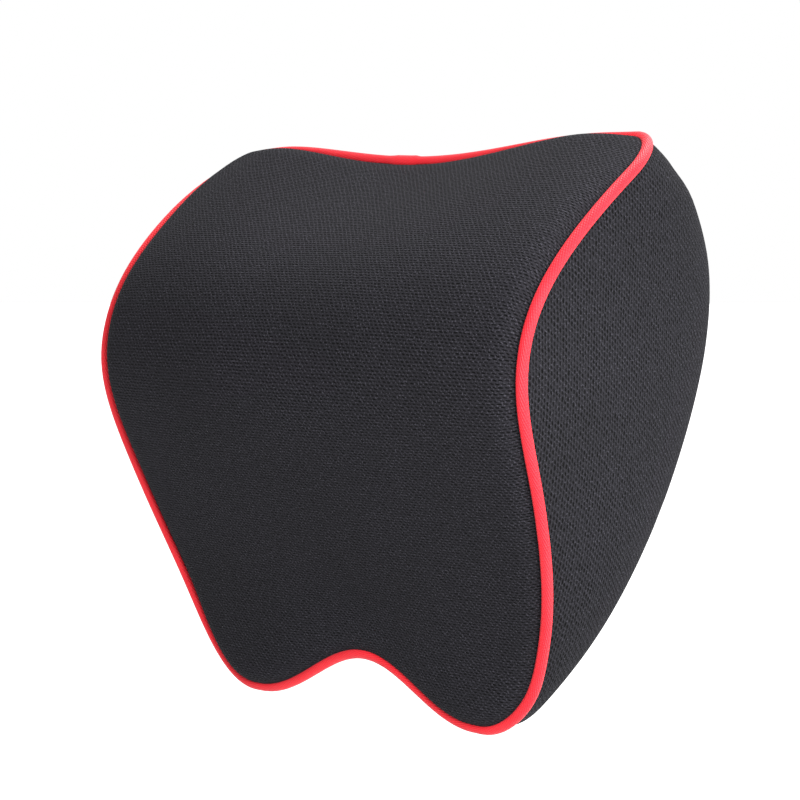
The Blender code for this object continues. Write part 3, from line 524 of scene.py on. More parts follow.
def cap_pattern(ring):
    """Pattern grid whose border is the ring, rows level across the pillow."""
    top, right, foot, left = ring_sides(ring)
    u = np.linspace(0, 1, COLUMNS + 1)[:, None]
    rows = np.arange(ROWS + 1)[:, None, None]
    top_share = np.clip(1 - rows / ZIP_ROW, 0, 1)
    foot_share = np.clip((rows - ZIP_ROW - 1) / (ROWS - ZIP_ROW - 1), 0, 1)
    sides = (1 - u) * left[:, None] + u * right[:, None]
    top_bow = top - (1 - u) * top[0] - u * top[-1]
    foot_bow = foot - (1 - u) * foot[0] - u * foot[-1]
    return sides + top_share * top_bow + foot_share * foot_bow


def front_cap(grid):
    x, level = grid[..., 0], grid[..., 1]
    return raised(front_base, x, level, 1, front_fill(x, level) + front_dome(x, level))


def back_cap(grid):
    x, level = grid[..., 0], grid[..., 1]
    return raised(back_base, x, level, -1, back_fill(level))


def profile_length(profile):
    """Length along a side-view profile, by level."""
    levels = np.linspace(-PROFILE_MARGIN, TOP_HEIGHT + PROFILE_MARGIN, PROFILE_SAMPLES)
    lengths = running_length(np.stack([levels, profile(levels)], -1))
    return lambda level: np.interp(level, levels, lengths)


FRONT_LENGTH = profile_length(EDGE_DEPTH)
BACK_LENGTH = profile_length(BACK_SURFACE_DEPTH)


def cloth_place(length, pattern):
    """Place on the flat cloth of a pattern point: across, and up along the profile."""
    x, level = pattern[..., 0], pattern[..., 1]
    return np.stack([x, length(level) + edge_shift(x, level)], -1)


def ring_cloth(length, positions, pattern):
    """Place on the flat cloth of each point of the rings, outward from the inner ring."""
    inner = cloth_place(length, pattern[:, -1])
    towards = cloth_place(length, pattern[:, 0]) - inner
    towards /= np.maximum(np.linalg.norm(towards, axis=1, keepdims=True), 1e-9)
    steps = np.linalg.norm(np.diff(positions, axis=1), axis=-1)
    from_inner = np.cumsum(steps[:, ::-1], axis=1)[:, ::-1]
    reach = np.concatenate([from_inner, np.zeros((len(steps), 1))], axis=1)
    return inner[:, None] + towards[:, None] * reach[..., None]


class Sheet:
    """Vertices, their places on the flat cloth, and faces, gathered as grids."""

    def __init__(self):
        self.points = []
        self.cloth = []
        self.faces = []

    def add(self, points, cloth):
        """Add a list of points; return their numbers."""
        start = len(self.points)
        self.points.extend(map(tuple, points))
        self.cloth.extend(map(tuple, cloth))
        return np.arange(start, len(self.points))

    def grid(self, positions, cloth):
        """Add a grid of points; return their numbers in the same grid."""
        added = self.add(positions.reshape(-1, 3), cloth.reshape(-1, 2))
        return added.reshape(positions.shape[:-1])

    def band(self, index):
        """Faces between the neighbours of a grid."""
        a, b = index[:-1, :-1], index[1:, :-1]
        c, d = index[1:, 1:], index[:-1, 1:]
        self.faces.extend(map(tuple, np.stack([a, b, c, d], -1).reshape(-1, 4).tolist()))

    def rings(self, positions, cloth):
        """Add a closed band of rings."""
        index = self.grid(positions, cloth)
        self.band(np.vstack([index, index[:1]]))
        return index

    def closed_tube(self, index):
        """Faces round a tube whose rows are its rings, and over its two ends."""
        self.band(np.hstack([index, index[:, :1]]))
        self.faces.append(tuple(index[0].tolist()))
        self.faces.append(tuple(index[-1][::-1].tolist()))

    def cap(self, ring, positions, cloth, open_row=None):
        """Fill a ring with rows that run level across; the open row stays a slot."""
        index = np.empty((ROWS + 1, COLUMNS + 1), int)
        index[0], index[:, -1], index[-1], index[:, 0] = ring_sides(ring)
        index[1:-1, 1:-1] = self.grid(positions[1:-1, 1:-1], cloth[1:-1, 1:-1])
        for row in range(ROWS):
            if row != open_row:
                self.band(index[row:row + 2].T)
        return index


def band_face():
    """Depth of the elastic band's outer face in the pattern's coordinates."""
    levels = BAND_LEVEL + np.linspace(-BAND_WIDTH / 2, BAND_WIDTH / 2, BAND_FACE_SAMPLES)
    surface = back_cap(np.stack([np.zeros_like(levels), levels], -1))
    return float(surface[:, 1].max()) + BAND_GAP + BAND_THICKNESS


def band_middle():
    return BAND_LEVEL + float(edge_shift(np.zeros(1), np.array([BAND_LEVEL]))[0])


ORIGIN = np.array((0.0, band_face(), band_middle()))


def side_shares():
    """Samples from the piping to the side's back seam, closer together beside the seam."""
    even = np.linspace(0, EVEN_SIDE_SHARE, SIDE_STEPS + 1 - len(SIDE_SEAM_SHARES))
    return np.concatenate([even, SIDE_SEAM_SHARES])


def side_grid(edge):
    """Side surface from the piping to the back seam."""
    return back_path(edge, np.tile(side_shares() * SIDE_SEAM_ANGLE, (len(edge.x), 1)))


def evenly(line, spacing):
    """Resample a line of points at an even spacing."""
    run = running_length(line)
    places = np.arange(0, run[-1], spacing)
    return np.stack([np.interp(places, run, line[:, i]) for i in range(3)], -1)


def seam_tree():
    """Points along the sides' back seams, and the move that draws the cloth in at each."""
    line = evenly(side_grid(EDGE.part(RIGHT_RANGE))[0][:, -1], SEAM_SAMPLE)
    run = np.arange(len(line)) * SEAM_SAMPLE
    depth = SEAM_DEPTH * smooth_step(run / SEAM_FADE) * smooth_step((run[-1] - run) / SEAM_FADE)
    pull = np.array(SEAM_WAY) * depth[:, None]
    points = np.vstack([line, line * (-1, 1, 1)])
    tree = KDTree(len(points))
    for i, point in enumerate(points):
        tree.insert(point, i)
    tree.balance()
    return tree, np.vstack([pull, pull * (-1, 1, 1)])


SEAMS, SEAM_PULL = seam_tree()


def sew(points):
    """Draw the cloth in along the sides' seams."""
    points = np.array(points, float)
    for i, point in enumerate(points):
        _, nearest, far = SEAMS.find(point)
        if far < 3 * SEAM_REACH:
            points[i] = point + SEAM_PULL[nearest] * bell(far / SEAM_REACH)
    return points


def settle(points):
    """The sewn cover's small departures from its pattern, as the photograph shows them."""
    points = np.array(points, float)
    for centre, reach, move in SETTLED:
        far = np.linalg.norm((points - np.array(centre) * MM) / (reach * MM), axis=1)
        points += bell(far)[:, None] * np.array(move) * MM
    return points


def new_object(name, data):
    made = bpy.data.objects.new(name, data)
    bpy.context.scene.collection.objects.link(made)
    return made


def add_piece(name, points, faces, finish, flip=False, settled=True):
    """A shown mesh with smooth shading, riding on the pillow.

    The tapes and coils don't settle with the cover, because the slider runs along them.
    """
    if settled:
        points = settle(points)
    mesh = bpy.data.meshes.new(name)
    if flip:
        faces = [face[::-1] for face in faces]
    mesh.from_pydata([tuple(point) for point in np.asarray(points) - ORIGIN], [], faces)
    mesh.shade_smooth()
    mesh.materials.append(finish)
    piece = new_object(name, mesh)
    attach(piece, "pillow")
    return piece


def lay_cloth(piece, cloth):
    """Store each vertex's place on the flat cloth, for the knit."""
    places = piece.data.attributes.new("cloth", "FLOAT_VECTOR", "POINT")
    flat = np.zeros((len(cloth), 3))
    flat[:, :2] = cloth
    places.data.foreach_set("vector", flat.ravel())


class Nodes:
    """Short forms for building a material's nodes."""

    def __init__(self, name):
        self.material = bpy.data.materials.new(name)
        self.material.use_nodes = True
        self.tree = self.material.node_tree
        self.shader = self.tree.nodes["Principled BSDF"]

    def put(self, socket, value):
        if isinstance(value, bpy.types.NodeSocket):
            self.tree.links.new(value, socket)
        else:
            socket.default_value = value

    def set(self, **values):
        """Set the shader's own sockets, named with _ for a space."""
        for name, value in values.items():
            self.put(self.shader.inputs[name.replace("_", " ")], value)

    def math(self, operation, *values):
        node = self.tree.nodes.new("ShaderNodeMath")
        node.operation = operation
        for socket, value in zip(node.inputs, values):
            self.put(socket, value)
        return node.outputs[0]

    def add(self, first, second):
        return self.math("ADD", first, second)

    def times(self, first, second):
        return self.math("MULTIPLY", first, second)

    def wave(self, place, length):
        """A sine of the given wavelength."""
        return self.math("SINE", self.times(place, 2 * math.pi / length))

    def ramp(self, value, low, high, out_low=0.0, out_high=1.0):
        node = self.tree.nodes.new("ShaderNodeMapRange")
        node.interpolation_type = "SMOOTHSTEP"
        for name, setting in (("Value", value), ("From Min", low), ("From Max", high),
                              ("To Min", out_low), ("To Max", out_high)):
            self.put(node.inputs[name], setting)
        return node.outputs["Result"]

    def noise(self, vector, scale, detail=2.0):
        node = self.tree.nodes.new("ShaderNodeTexNoise")
        self.put(node.inputs["Vector"], vector)
        node.inputs["Scale"].default_value = scale
        node.inputs["Detail"].default_value = detail
        return node.outputs["Fac"]

    def chance(self, first, second):
        """An even random value for each pair of whole numbers."""
        pair = self.tree.nodes.new("ShaderNodeCombineXYZ")
        self.put(pair.inputs[0], first)
        self.put(pair.inputs[1], second)
        node = self.tree.nodes.new("ShaderNodeTexWhiteNoise")
        self.put(node.inputs["Vector"], pair.outputs[0])
        return node.outputs["Value"]

    def mix(self, share, first, second):
        """A blend of two colours; a plain one is given as red, green and blue."""
        node = self.tree.nodes.new("ShaderNodeMix")
        node.data_type = "RGBA"
        self.put(node.inputs[0], share)
        # The node's colours are its inputs 6 and 7, and their blend is its output 2
        for socket, colour in ((node.inputs[6], first), (node.inputs[7], second)):
            self.put(socket, (*colour, 1) if isinstance(colour, tuple) else colour)
        return node.outputs[2]

    def object_place(self):
        return self.tree.nodes.new("ShaderNodeTexCoord").outputs["Object"]

    def cloth_place(self):
        """The place on the flat cloth that lay_cloth stores."""
        node = self.tree.nodes.new("ShaderNodeAttribute")
        node.attribute_name = "cloth"
        return node.outputs["Vector"]

    def split(self, vector):
        node = self.tree.nodes.new("ShaderNodeSeparateXYZ")
        self.put(node.inputs[0], vector)
        return node.outputs

    def bump(self, height, distance):
        node = self.tree.nodes.new("ShaderNodeBump")
        node.inputs["Distance"].default_value = distance
        self.put(node.inputs["Height"], height)
        self.put(self.shader.inputs["Normal"], node.outputs["Normal"])


def knit_slits(n, pitches, slit, upright, lean):
    """How open the knit is, from 0 to 1, and how far a point lies from the middle of its row."""
    place = n.split(n.cloth_place())
    along, rows = (place[1], place[0]) if upright else (place[0], place[1])
    wander = n.noise(n.cloth_place(), scale=240.0, detail=1.0)
    row = n.math("DIVIDE", rows, pitches[1])
    row = n.add(row, n.times(n.math("SUBTRACT", wander, 0.5), ROW_WANDER))
    row_number = n.math("FLOOR", row)
    step = n.math("DIVIDE", along, pitches[0])
    step = n.add(step, n.times(row_number, 0.5))
    step = n.add(step, n.times(wander, STEP_WANDER))
    chance = n.chance(n.math("FLOOR", step), row_number)
    a = n.math("SUBTRACT", n.math("FRACT", step), 0.5)
    b = n.math("SUBTRACT", n.math("FRACT", row), 0.5)
    b = n.add(b, n.times(a, lean))
    far = n.add(n.math("POWER", n.math("DIVIDE", a, SLIT_HALF_LENGTH), 2.0),
                n.math("POWER", n.math("DIVIDE", b, slit), 2.0))
    depth = n.ramp(chance, 0.0, 1.0, out_low=SHALLOWEST_SLIT)
    return n.times(n.ramp(far, 0.25, 1.15, out_low=1.0, out_high=0.0), depth), b


def knit(name, thread, slit_colour_and_shade, pitches, slit, upright, lean, relief):
    """Mesh knit: staggered rows of short slits of uneven depth between threads, speckled with painted
    glints, with painted shade in the slits.
    """
    n = Nodes(name)
    hole, off_middle = knit_slits(n, pitches, slit, upright, lean)
    glint_speck = n.ramp(n.noise(n.cloth_place(), scale=1300.0, detail=0.0), 0.56, 0.76)
    ridge = n.times(n.math("COSINE", n.times(off_middle, 2 * math.pi)), -KNIT_RIDGE)
    # Painted glints: tiny specks of the threads painted several times lighter, standing in for light
    # caught by the fibres
    lit = tuple(part * SPECK_GLINT_GAIN for part in thread)
    # The slits are painted near black: the dark cloth seen through them, with painted shade
    colour = n.mix(hole, n.mix(glint_speck, thread, lit), slit_colour_and_shade)
    broad = n.noise(n.object_place(), scale=14.0, detail=3.0)
    colour = n.mix(n.ramp(broad, 0.2, 0.8, out_high=0.22), colour, (0.004, 0.004, 0.004))
    n.set(Base_Color=colour, Roughness=0.85, Specular_IOR_Level=0.05,
          Sheen_Weight=0.01, Sheen_Roughness=0.5, Sheen_Tint=(0.9, 0.9, 1.0, 1))
    height = n.math("SUBTRACT", n.times(glint_speck, SPECK_RELIEF), hole)
    n.bump(n.add(height, ridge), relief)
    return n.material


def piping_cloth():
    """Red cord cover: fine ribbed fabric on the bias, its ribs winding slowly round the cord."""
    n = Nodes("red_piping_cloth")
    place = n.split(n.cloth_place())
    wound = n.add(place[1], n.times(place[0], PIPING_BIAS))
    rib = n.times(n.wave(wound, PIPING_RIB), 0.7)
    weave = n.add(rib, n.times(n.wave(place[0], PIPING_WEFT), 0.3))
    broad = n.ramp(n.noise(n.object_place(), scale=60.0, detail=3.0), 0.3, 0.7)
    red = n.mix(broad, (0.59, 0.016, 0.026), (0.53, 0.012, 0.021))
    # Painted shade: the grooves between the ribs and wefts are painted darker
    dark = n.ramp(weave, -1.0, 0.8, out_low=0.6, out_high=0.0)
    colour = n.mix(dark, red, (0.39, 0.002, 0.005))
    n.set(Base_Color=colour, Roughness=0.5, Specular_IOR_Level=0.15,
          Sheen_Weight=0.08, Sheen_Roughness=0.4, Sheen_Tint=(1.0, 0.45, 0.5, 1))
    n.bump(weave, 0.1 * MM)
    return n.material


def woven(n, weave, fuzz_scale, dark, light, light_from, relief):
    """Finish a black woven cloth, its weave and fuzz shown in relief and in colour, with painted shade
    where the weave lies low.
    """
    fuzz = n.noise(n.cloth_place(), fuzz_scale)
    height = n.add(n.times(weave, 0.5), fuzz)
    # Painted shade: the cloth is painted darker where its weave lies low, and the fuzz varies its tone at
    # random
    n.set(Base_Color=n.mix(n.ramp(height, -0.2, light_from), dark, light), Roughness=0.8,
          Specular_IOR_Level=0.15)
    n.bump(height, relief)
    return n.material


def tape_cloth():
    """Zip tape: a fine herringbone of slanted ribs that turn back across the tape."""
    n = Nodes("zip_tape_cloth")
    place = n.split(n.cloth_place())
    turn = n.math("PINGPONG", place[1], TAPE_RIB_TURN)
    rib = n.wave(n.add(place[0], turn), TAPE_RIB)
    return woven(n, rib, fuzz_scale=1200.0, dark=(0.004, 0.004, 0.005), light=(0.018, 0.018, 0.020),
                 light_from=1.2, relief=0.15 * MM)


def webbing():
    """Elastic webbing: cords along it, crossed by fine wefts."""
    n = Nodes("elastic_webbing")
    place = n.split(n.cloth_place())
    weft = n.wave(place[0], BAND_WEFT)
    cord = n.wave(place[1], BAND_WIDTH / (2 * BAND_RIBS))
    return woven(n, n.times(weft, cord), fuzz_scale=900.0, dark=(0.006, 0.006, 0.007),
                 light=(0.026, 0.026, 0.029), light_from=1.1, relief=0.2 * MM)


def plain(name, colour, roughness, metallic=0.0, grain=0.2 * MM, scale=900.0):
    """A finish with a fine grain in its colour and relief."""
    n = Nodes(name)
    grain_value = n.noise(n.object_place(), scale, detail=3.0)
    dark = tuple(part * GRAIN_SHADE for part in colour)
    n.set(Base_Color=n.mix(n.ramp(grain_value, 0.3, 0.7), colour, dark), Roughness=roughness,
          Metallic=metallic)
    n.bump(grain_value, grain)
    return n.material


def cover_piece(name, node, sheet, finish, flip=False):
    """A panel of the cover, which the foam fills tight."""
    piece = add_piece(name, sheet.points, sheet.faces, finish, flip=flip)
    lay_cloth(piece, sheet.cloth)
    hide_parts(node)


def front_cover(finish):
    sheet = Sheet()
    angles = np.tile(np.linspace(0, math.pi / 2, ROLL_STEPS + 1), (len(EDGE.x), 1))
    positions, pattern = front_path(EDGE, angles)
    ring = sheet.rings(positions, ring_cloth(FRONT_LENGTH, positions, pattern))
    grid = cap_pattern(pattern[:, -1])
    sheet.cap(ring[:, -1], front_cap(grid), cloth_place(FRONT_LENGTH, grid))
    cover_piece("cover_front", "front_panel", sheet, finish, flip=True)


def side_cover(name, node, side, finish):
    edge = EDGE.part(RIGHT_RANGE)
    positions = side_grid(edge)[0]
    steps = np.linalg.norm(np.diff(positions, axis=1), axis=-1)
    run = np.concatenate([np.zeros((len(steps), 1)), np.cumsum(steps, axis=1)], axis=1)
    across = run + EDGE_DEPTH(edge.level)[:, None]
    down = running_length(edge.points)[:, None]
    cloth = np.stack(np.broadcast_arrays(across, -down), -1)
    positions = positions * (side, 1, 1)
    sheet = Sheet()
    sheet.band(sheet.grid(sew(positions.reshape(-1, 3)).reshape(positions.shape), cloth))
    cover_piece(name, node, sheet, finish, flip=side < 0)


def zip_place():
    """Zip coordinates: X along the zip to the open end, Y up the slope, Z out of the back."""
    levels = ZIP_LEVEL + np.array((0.5, -0.5)) * ZIP_SLOT
    upper, lower = back_cap(np.stack([np.zeros(2), levels], -1))
    up = Vector(upper - lower).normalized()
    along = Vector((-1, 0, 0))
    turn = Matrix((along, up, along.cross(up))).transposed().to_4x4()
    return Matrix.Translation((upper + lower) / 2) @ turn


ZIP_PLACE = zip_place()
ZIP_OUTWARD = np.array(ZIP_PLACE.to_3x3().col[2])


def from_zip(points):
    """Points in the zip's coordinates, brought to the pattern's."""
    return [tuple(ZIP_PLACE @ Vector(point)) for point in points]


def fold_slot(sheet, index):
    """Turn the cover's edges in round the zip's slot."""
    loop = np.concatenate([index[ZIP_ROW], index[ZIP_ROW + 1][::-1]])
    points = np.array(sheet.points)[loop]
    cloth = np.array(sheet.cloth)[loop]
    rows = [loop]
    for share in (0.5, 1.0):
        rows.append(sheet.add(points - ZIP_OUTWARD * SLOT_FOLD * share, cloth))
    rows = np.array(rows)
    sheet.band(np.hstack([rows, rows[:, :1]]))


def back_cover(finish):
    """The back panel with the zip's slot, and its strips over the top and under the foot."""
    sheet = Sheet()
    shares = np.linspace(0, 1, BACK_EDGE_STEPS + 1) ** BACK_EDGE_CROWDING
    angles = SIDE_SEAM_ANGLE + shares * (math.pi / 2 - SIDE_SEAM_ANGLE)
    positions, pattern = back_path(EDGE, np.tile(angles, (len(EDGE.x), 1)))
    ring_places = ring_cloth(BACK_LENGTH, positions, pattern)
    ring = sheet.rings(positions, ring_places)
    grid = cap_pattern(pattern[:, -1])
    index = sheet.cap(ring[:, -1], back_cap(grid), cloth_place(BACK_LENGTH, grid), open_row=ZIP_ROW)
    fold_slot(sheet, index)
    for indices in (TOP_RANGE, FOOT_RANGE):
        positions, pattern = side_grid(EDGE.part(indices))
        cloth = ring_cloth(BACK_LENGTH, positions, pattern)
        cloth += (ring_places[indices, 0] - cloth[:, -1])[:, None]
        strip = sheet.grid(positions[:, :-1], cloth[:, :-1])
        sheet.band(np.hstack([strip, ring[indices, :1]]))
    sheet.points = sew(sheet.points)
    cover_piece("cover_back", "back_panel", sheet, finish)


def edge_direction(edge):
    step = np.stack([edge.normals[:, 1], -edge.normals[:, 0]], -1) * SURFACE_STEP
    return unit(front_base(*(edge.points + step).T) - front_base(*(edge.points - step).T))


def rings_round(first, second, sides, closed=True):
    """Unit rings, one a row, each in the plane of that row's two crosswise directions."""
    angles = np.linspace(0, 2 * math.pi, sides + closed, endpoint=closed)
    across = np.cos(angles)[None, :, None] * first[:, None]
    return across + np.sin(angles)[None, :, None] * second[:, None]


def splice_share():
    """One where the piping's ends overlap at the top, zero elsewhere, at each sample."""
    past_start = smooth_step((EDGE.x - SPLICE_X) / SPLICE_BLEND + 0.5)
    past_end = smooth_step((EDGE.x - SPLICE_X - SPLICE_LENGTH) / SPLICE_BLEND + 0.5)
    return past_start * (1 - past_end) * (EDGE.level > TOP_HEIGHT - 1 * MM)


def piping_piece(finish):
    """The corded piping, with its overlapped ends at the top."""
    along = edge_direction(EDGE)
    centre = front_base(EDGE.x, EDGE.level)
    out = unit(np.stack([-along[:, 2], np.zeros(len(along)), along[:, 0]], -1))
    forward = np.cross(along, out)
    forward *= -np.sign(forward[:, 1:2])
    radius = PIPING_RADIUS + SPLICE_LIFT * splice_share()
    points = centre[:, None] + rings_round(out, forward, PIPING_SIDES) * radius[:, None, None]
    points = np.vstack([points, points[:1]])
    run = running_length(np.vstack([centre, centre[:1]]))
    girth = np.linspace(0, 2 * math.pi, PIPING_SIDES + 1) * PIPING_RADIUS
    sheet = Sheet()
    sheet.band(sheet.grid(points, np.stack(np.broadcast_arrays(run[:, None], girth), -1)))
    piece = add_piece("piping_cord", sheet.points, sheet.faces, finish)
    lay_cloth(piece, sheet.cloth)
    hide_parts("piping")


def tube(sheet, centres, radius):
    """Add a closed tube through the centres, tapered at its ends."""
    centres = np.array(centres, float)
    along = unit(np.gradient(centres, axis=0))
    # Any direction well away from the tube's own
    helper = (0.0, 1.0, 0.0) if abs(along[0, 1]) < 0.8 else (1.0, 0.0, 0.0)
    first = unit(np.cross(along, helper))
    ring = rings_round(first, np.cross(along, first), THREAD_SIDES, closed=False)
    radii = np.full(len(centres), radius)
    radii[[0, -1]] *= THREAD_END_TAPER
    points = centres[:, None] + ring * radii[:, None, None]
    index = sheet.grid(points, np.zeros((*points.shape[:2], 2)))
    sheet.closed_tube(index[:, ::-1])


def stitches(sheet, start, end, lift):
    """A row of thread stitches from start to end, each a short arch pulled in at its ends."""
    start, end, lift = map(np.array, (start, end, lift))
    length = np.linalg.norm(end - start)
    count = max(1, round(length / STITCH_PITCH))
    way = (end - start) / length
    shares = np.linspace(-0.5, 0.5, STITCH_POINTS)[:, None]
    arch = way * STITCH_LENGTH * shares + lift * STITCH_RADIUS * (1 - STITCH_DIP * shares * shares)
    for i in range(count):
        middle = start + way * length * (i + 0.5) / count
        tube(sheet, middle + arch, STITCH_RADIUS)


def band_drop(levels):
    """How far the band follows the curved back away from its outer face's plane."""
    levels = np.asarray(levels) - (ORIGIN[2] - BAND_LEVEL)
    surface = back_cap(np.stack([np.zeros_like(levels), levels], -1))[..., 1]
    return ORIGIN[1] - BAND_THICKNESS - BAND_GAP - surface


def band_section():
    """Depths and heights round the webbing's section, ribbed on its outer face."""
    across = np.linspace(-0.5, 0.5, BAND_RIB_STEPS * BAND_RIBS + 1)
    valley = np.abs(np.cos(math.pi * BAND_RIBS * (across + 0.5))) ** BAND_RIB_SHARPNESS
    edge = np.clip((np.abs(across) - 0.5 + BAND_EDGE_SHARE) / BAND_EDGE_SHARE, 0, 1)
    outer = ORIGIN[1] - BAND_RIB_DEPTH * valley - BAND_EDGE_ROUNDING * edge ** 2
    under = np.linspace(0.5, -0.5, BAND_UNDER_STEPS + 1)
    depths = np.concatenate([outer, np.full(len(under), ORIGIN[1] - BAND_THICKNESS)])
    return depths, np.concatenate([across, under]) * BAND_WIDTH + ORIGIN[2]


def band_points():
    """The webbing's surface, pressed in where it is sewn."""
    depths, levels = band_section()
    x = np.linspace(-0.5, 0.5, BAND_STEPS + 1) * BAND_LENGTH
    from_end = BAND_LENGTH / 2 - np.abs(x)
    sewn = bell((from_end - BAND_STITCH_MARGIN) / BAND_SEWN_REACH)
    sewn += bell((from_end - BAND_STITCH_MARGIN - BAND_STITCH_BOX) / BAND_SEWN_REACH)
    points = np.empty((len(x), len(levels), 3))
    points[..., 0] = x[:, None]
    points[..., 1] = depths - band_drop(levels)
    points[..., 2] = levels
    outer = BAND_RIB_STEPS * BAND_RIBS + 1
    points[:, :outer, 1] -= BAND_SEWN_DEPTH * sewn[:, None]
    return points


def band_piece(finish):
    """Ribbed elastic webbing across the upper back."""
    points = band_points()
    sheet = Sheet()
    sheet.closed_tube(sheet.grid(points, points[..., [0, 2]]))
    band = add_piece("band_webbing", sheet.points, sheet.faces, finish, flip=True)
    lay_cloth(band, sheet.cloth)
    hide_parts("elastic_band")


def band_stitching(thread):
    """Crossed boxes of stitches that hold the webbing's ends to the back."""
    reach = BAND_WIDTH / 2 - BAND_STITCH_MARGIN
    low, high = ORIGIN[2] - reach, ORIGIN[2] + reach
    rows = Sheet()
    for side in (1, -1):
        outer = side * (BAND_LENGTH / 2 - BAND_STITCH_MARGIN)
        inner = outer - side * BAND_STITCH_BOX
        corners = ((outer, low), (outer, high), (inner, high), (inner, low))
        corners = [(x, ORIGIN[1], level) for x, level in corners]
        for start, end in ((0, 1), (1, 2), (2, 3), (3, 0), (0, 2), (1, 3)):
            stitches(rows, corners[start], corners[end], (0, 1, 0))
    points = np.array(rows.points)
    points[:, 1] -= band_drop(points[:, 2])
    add_piece("band_stitches", points, rows.faces, thread)


def zip_tapes(finish):
    """The two woven tapes, their inner edges together under the coil."""
    reach = SLOT_HALF_LENGTH + TAPE_END_OVERLAP
    across = np.linspace(TAPE_MEETING, ZIP_SLOT / 2 + TAPE_OVERLAP, TAPE_WIDTH_STEPS + 1)
    edge = np.zeros(len(across))
    edge[[0, -1]] = TAPE_EDGE_ROUNDING
    widths = np.concatenate([across, across[::-1]])
    heights = TAPE_FACE - np.concatenate([edge, TAPE_THICKNESS - edge])
    for name, side in (("upper", 1), ("lower", -1)):
        sheet = Sheet()
        rows = []
        for along in np.linspace(-reach, reach, TAPE_STEPS + 1):
            points = from_zip([(along, side * a, height) for a, height in zip(widths, heights)])
            rows.append(sheet.add(points, [(along, side * a) for a in widths]))
        sheet.closed_tube(np.array(rows))
        piece = add_piece("tape_" + name, sheet.points, sheet.faces, finish,
                          flip=side > 0, settled=False)
        lay_cloth(piece, sheet.cloth)
        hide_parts("zip_tape_" + name)


def zip_coils(finish):
    """The closed coil: two nylon strands, each a flattened spring, meshed at the middle."""
    half = SLOT_HALF_LENGTH - COIL_END_MARGIN
    turns = round(2 * half / COIL_TURN)
    angles = np.linspace(0, 2 * math.pi * turns, COIL_TURN_STEPS * turns + 1)
    reach = (COIL_OUTER + COIL_INNER) / 2 + (COIL_OUTER - COIL_INNER) / 2 * np.cos(angles)
    height = COIL_MIDDLE + COIL_HALF_HEIGHT * np.sin(angles)
    for name, side in (("upper", 1), ("lower", -1)):
        shift = 0 if side > 0 else 0.5 * COIL_TURN
        along = np.linspace(-half, half - 0.5 * COIL_TURN, len(angles)) + shift
        sheet = Sheet()
        tube(sheet, from_zip(np.stack([along, side * reach, height], -1)), COIL_THREAD)
        piece = add_piece("coil_" + name, sheet.points, sheet.faces, finish, settled=False)
        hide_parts("zip_coil_" + name)


def zip_stitching(thread):
    """Rows of thread that hold the cover's folded edges to the tapes, and the coil to the tapes."""
    slot_end = SLOT_HALF_LENGTH + SLOT_END_INSET
    slot_side = ZIP_SLOT / 2 + TOPSTITCH_INSET
    coil_end = SLOT_HALF_LENGTH - COIL_END_MARGIN
    coil_side = COIL_OUTER - COIL_STITCH_INSET
    rows = Sheet()
    for side in (1, -1):
        for end, level, height in ((slot_end, slot_side, THREAD_LIFT),
                                   (coil_end, coil_side, COIL_MIDDLE + COIL_HALF_HEIGHT)):
            ends = from_zip([(-end, side * level, height), (end, side * level, height)])
            stitches(rows, *ends, ZIP_OUTWARD)
    for end in (slot_end, -slot_end):
        ends = from_zip([(end, -slot_side, THREAD_LIFT), (end, slot_side, THREAD_LIFT)])
        stitches(rows, *ends, ZIP_OUTWARD)
    add_piece("zip_stitches", sew(rows.points), rows.faces, thread)


def repaint(piece, finish):
    piece.data.materials.clear()
    piece.data.materials.append(finish)


def rounded_copy(node, name, body, finish):
    """A CAD piece again with its edges rounded."""
    piece = new_object(name, node.data.copy())
    repaint(piece, finish)
    bevel = piece.modifiers.new("rounded", "BEVEL")
    bevel.width = METAL_ROUNDING
    bevel.segments = METAL_ROUNDING_STEPS
    bevel.limit_method = "ANGLE"
    bevel.angle_limit = METAL_EDGE_ANGLE
    piece.data.shade_smooth()
    bevel.harden_normals = True
    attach(piece, body)
    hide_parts(node.name)


def add_lamp(name, lamp, way):
    """Add a lamp that shines against the given way."""
    made = new_object(name, lamp)
    made.rotation_euler = Vector(way).to_track_quat("Z", "Y").to_euler()
    return made


def sun(name, towards, strength, spread):
    """A distant soft light; towards points from the object to the light."""
    lamp = bpy.data.lights.new(name, "SUN")
    lamp.energy = strength
    lamp.angle = math.radians(spread)
    add_lamp(name, lamp, towards)


def soft_box(name, place, target, size, power):
    """A round soft light, aimed at its target."""
    lamp = bpy.data.lights.new(name, "AREA")
    lamp.shape = "DISK"
    lamp.size = size
    lamp.energy = power
    add_lamp(name, lamp, Vector(place) - Vector(target)).location = place


def camera():
    forward = Vector(CAMERA_FORWARD).normalized()
    up = Vector(CAMERA_UP).normalized()
    right = forward.cross(up).normalized()
    turn = Matrix((right, up, -forward)).transposed().to_4x4()
    data = bpy.data.cameras.new("camera")
    data.lens = CAMERA_LENS
    data.clip_end = CAMERA_FAR_CLIP
    made = new_object("camera", data)
    made.matrix_world = Matrix.Translation(Vector(CAMERA_PLACE) - Vector(ORIGIN)) @ turn
    bpy.context.scene.camera = made


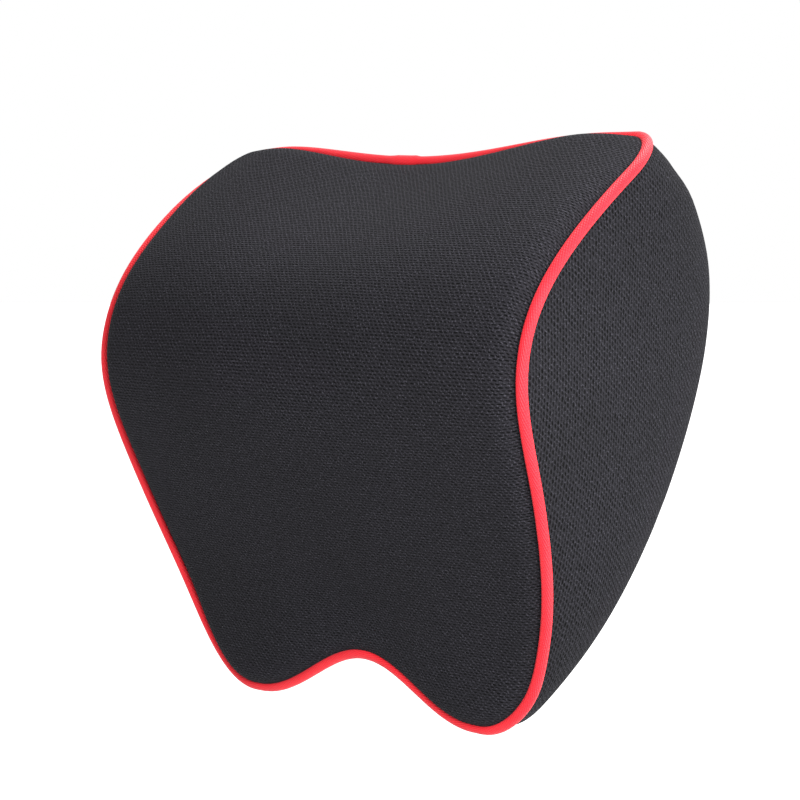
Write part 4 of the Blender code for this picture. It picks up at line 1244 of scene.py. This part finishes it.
def pale_floor():
    mesh = bpy.data.meshes.new("floor")
    corners = ((-1, -1), (1, -1), (1, 1), (-1, 1))
    points = [(x * FLOOR_REACH, y * FLOOR_REACH, FLOOR_LEVEL) for x, y in corners]
    mesh.from_pydata(points, [], [(0, 1, 2, 3)])
    n = Nodes("pale_floor")
    grey = n.mix(n.noise(n.object_place(), 3.0), (0.52, 0.52, 0.52), (0.5, 0.5, 0.5))
    n.set(Base_Color=grey, Roughness=0.8)
    mesh.materials.append(n.material)
    floor = new_object("floor", mesh)


def studio():
    """Camera, floor, an even white surround and three soft lights."""
    camera()
    pale_floor()
    world = bpy.data.worlds.new("studio")
    world.use_nodes = True
    world.node_tree.nodes["Background"].inputs["Color"].default_value = (1, 1, 1, 1)
    bpy.context.scene.world = world
    bpy.context.scene.view_settings.view_transform = "Standard"
    sun("overhead", towards=(0.06, 0.55, 1.0), strength=7.4, spread=38)
    soft_box("side_box", place=(0.6, 0.1, -0.34), target=(0.12, 0, -0.1), size=0.4, power=4.8)
    soft_box("front_box", place=(0.56, -0.36, 0.08), target=(0.1, -0.1, -0.05), size=0.35, power=8.5)


def cover():
    front = knit("front_knit", thread=(0.0114, 0.0109, 0.0135), slit_colour_and_shade=(0.0006, 0.0006, 0.0008),
                 pitches=FRONT_KNIT, slit=0.30, upright=False, lean=0.35, relief=0.35 * MM)
    side = knit("side_knit", thread=(0.0094, 0.0091, 0.0113), slit_colour_and_shade=(0.0003, 0.0003, 0.0004),
                pitches=SIDE_KNIT, slit=0.42, upright=True, lean=0.25, relief=0.45 * MM)
    front_cover(front)
    side_cover("cover_side_right", "right_side_panel", 1, side)
    side_cover("cover_side_left", "left_side_panel", -1, side)
    back_cover(front)


def zip_and_band():
    thread = plain("black_thread", (0.03, 0.03, 0.032), 0.7, grain=0.05 * MM, scale=2500.0)
    metal = plain("zip_black_metal", (0.035, 0.035, 0.038), 0.35, metallic=0.8, grain=0.05 * MM)
    zip_tapes(tape_cloth())
    zip_coils(plain("zip_coil_nylon", (0.02, 0.02, 0.022), 0.35))
    zip_stitching(thread)
    band_piece(webbing())
    band_stitching(thread)
    for name, body in (("stop_closed", "pillow"), ("stop_open", "pillow"), ("slider", "zip_slider"),
                       ("puller", "zip_puller")):
        rounded_copy(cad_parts["zip_" + name], name, body, metal)


def main():
    cover()
    piping_piece(piping_cloth())
    zip_and_band()
    foam = plain("memory_foam", (0.72, 0.66, 0.5), 0.9, grain=0.5 * MM, scale=300.0)
    repaint(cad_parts["foam_core"], foam)
    studio()


main()
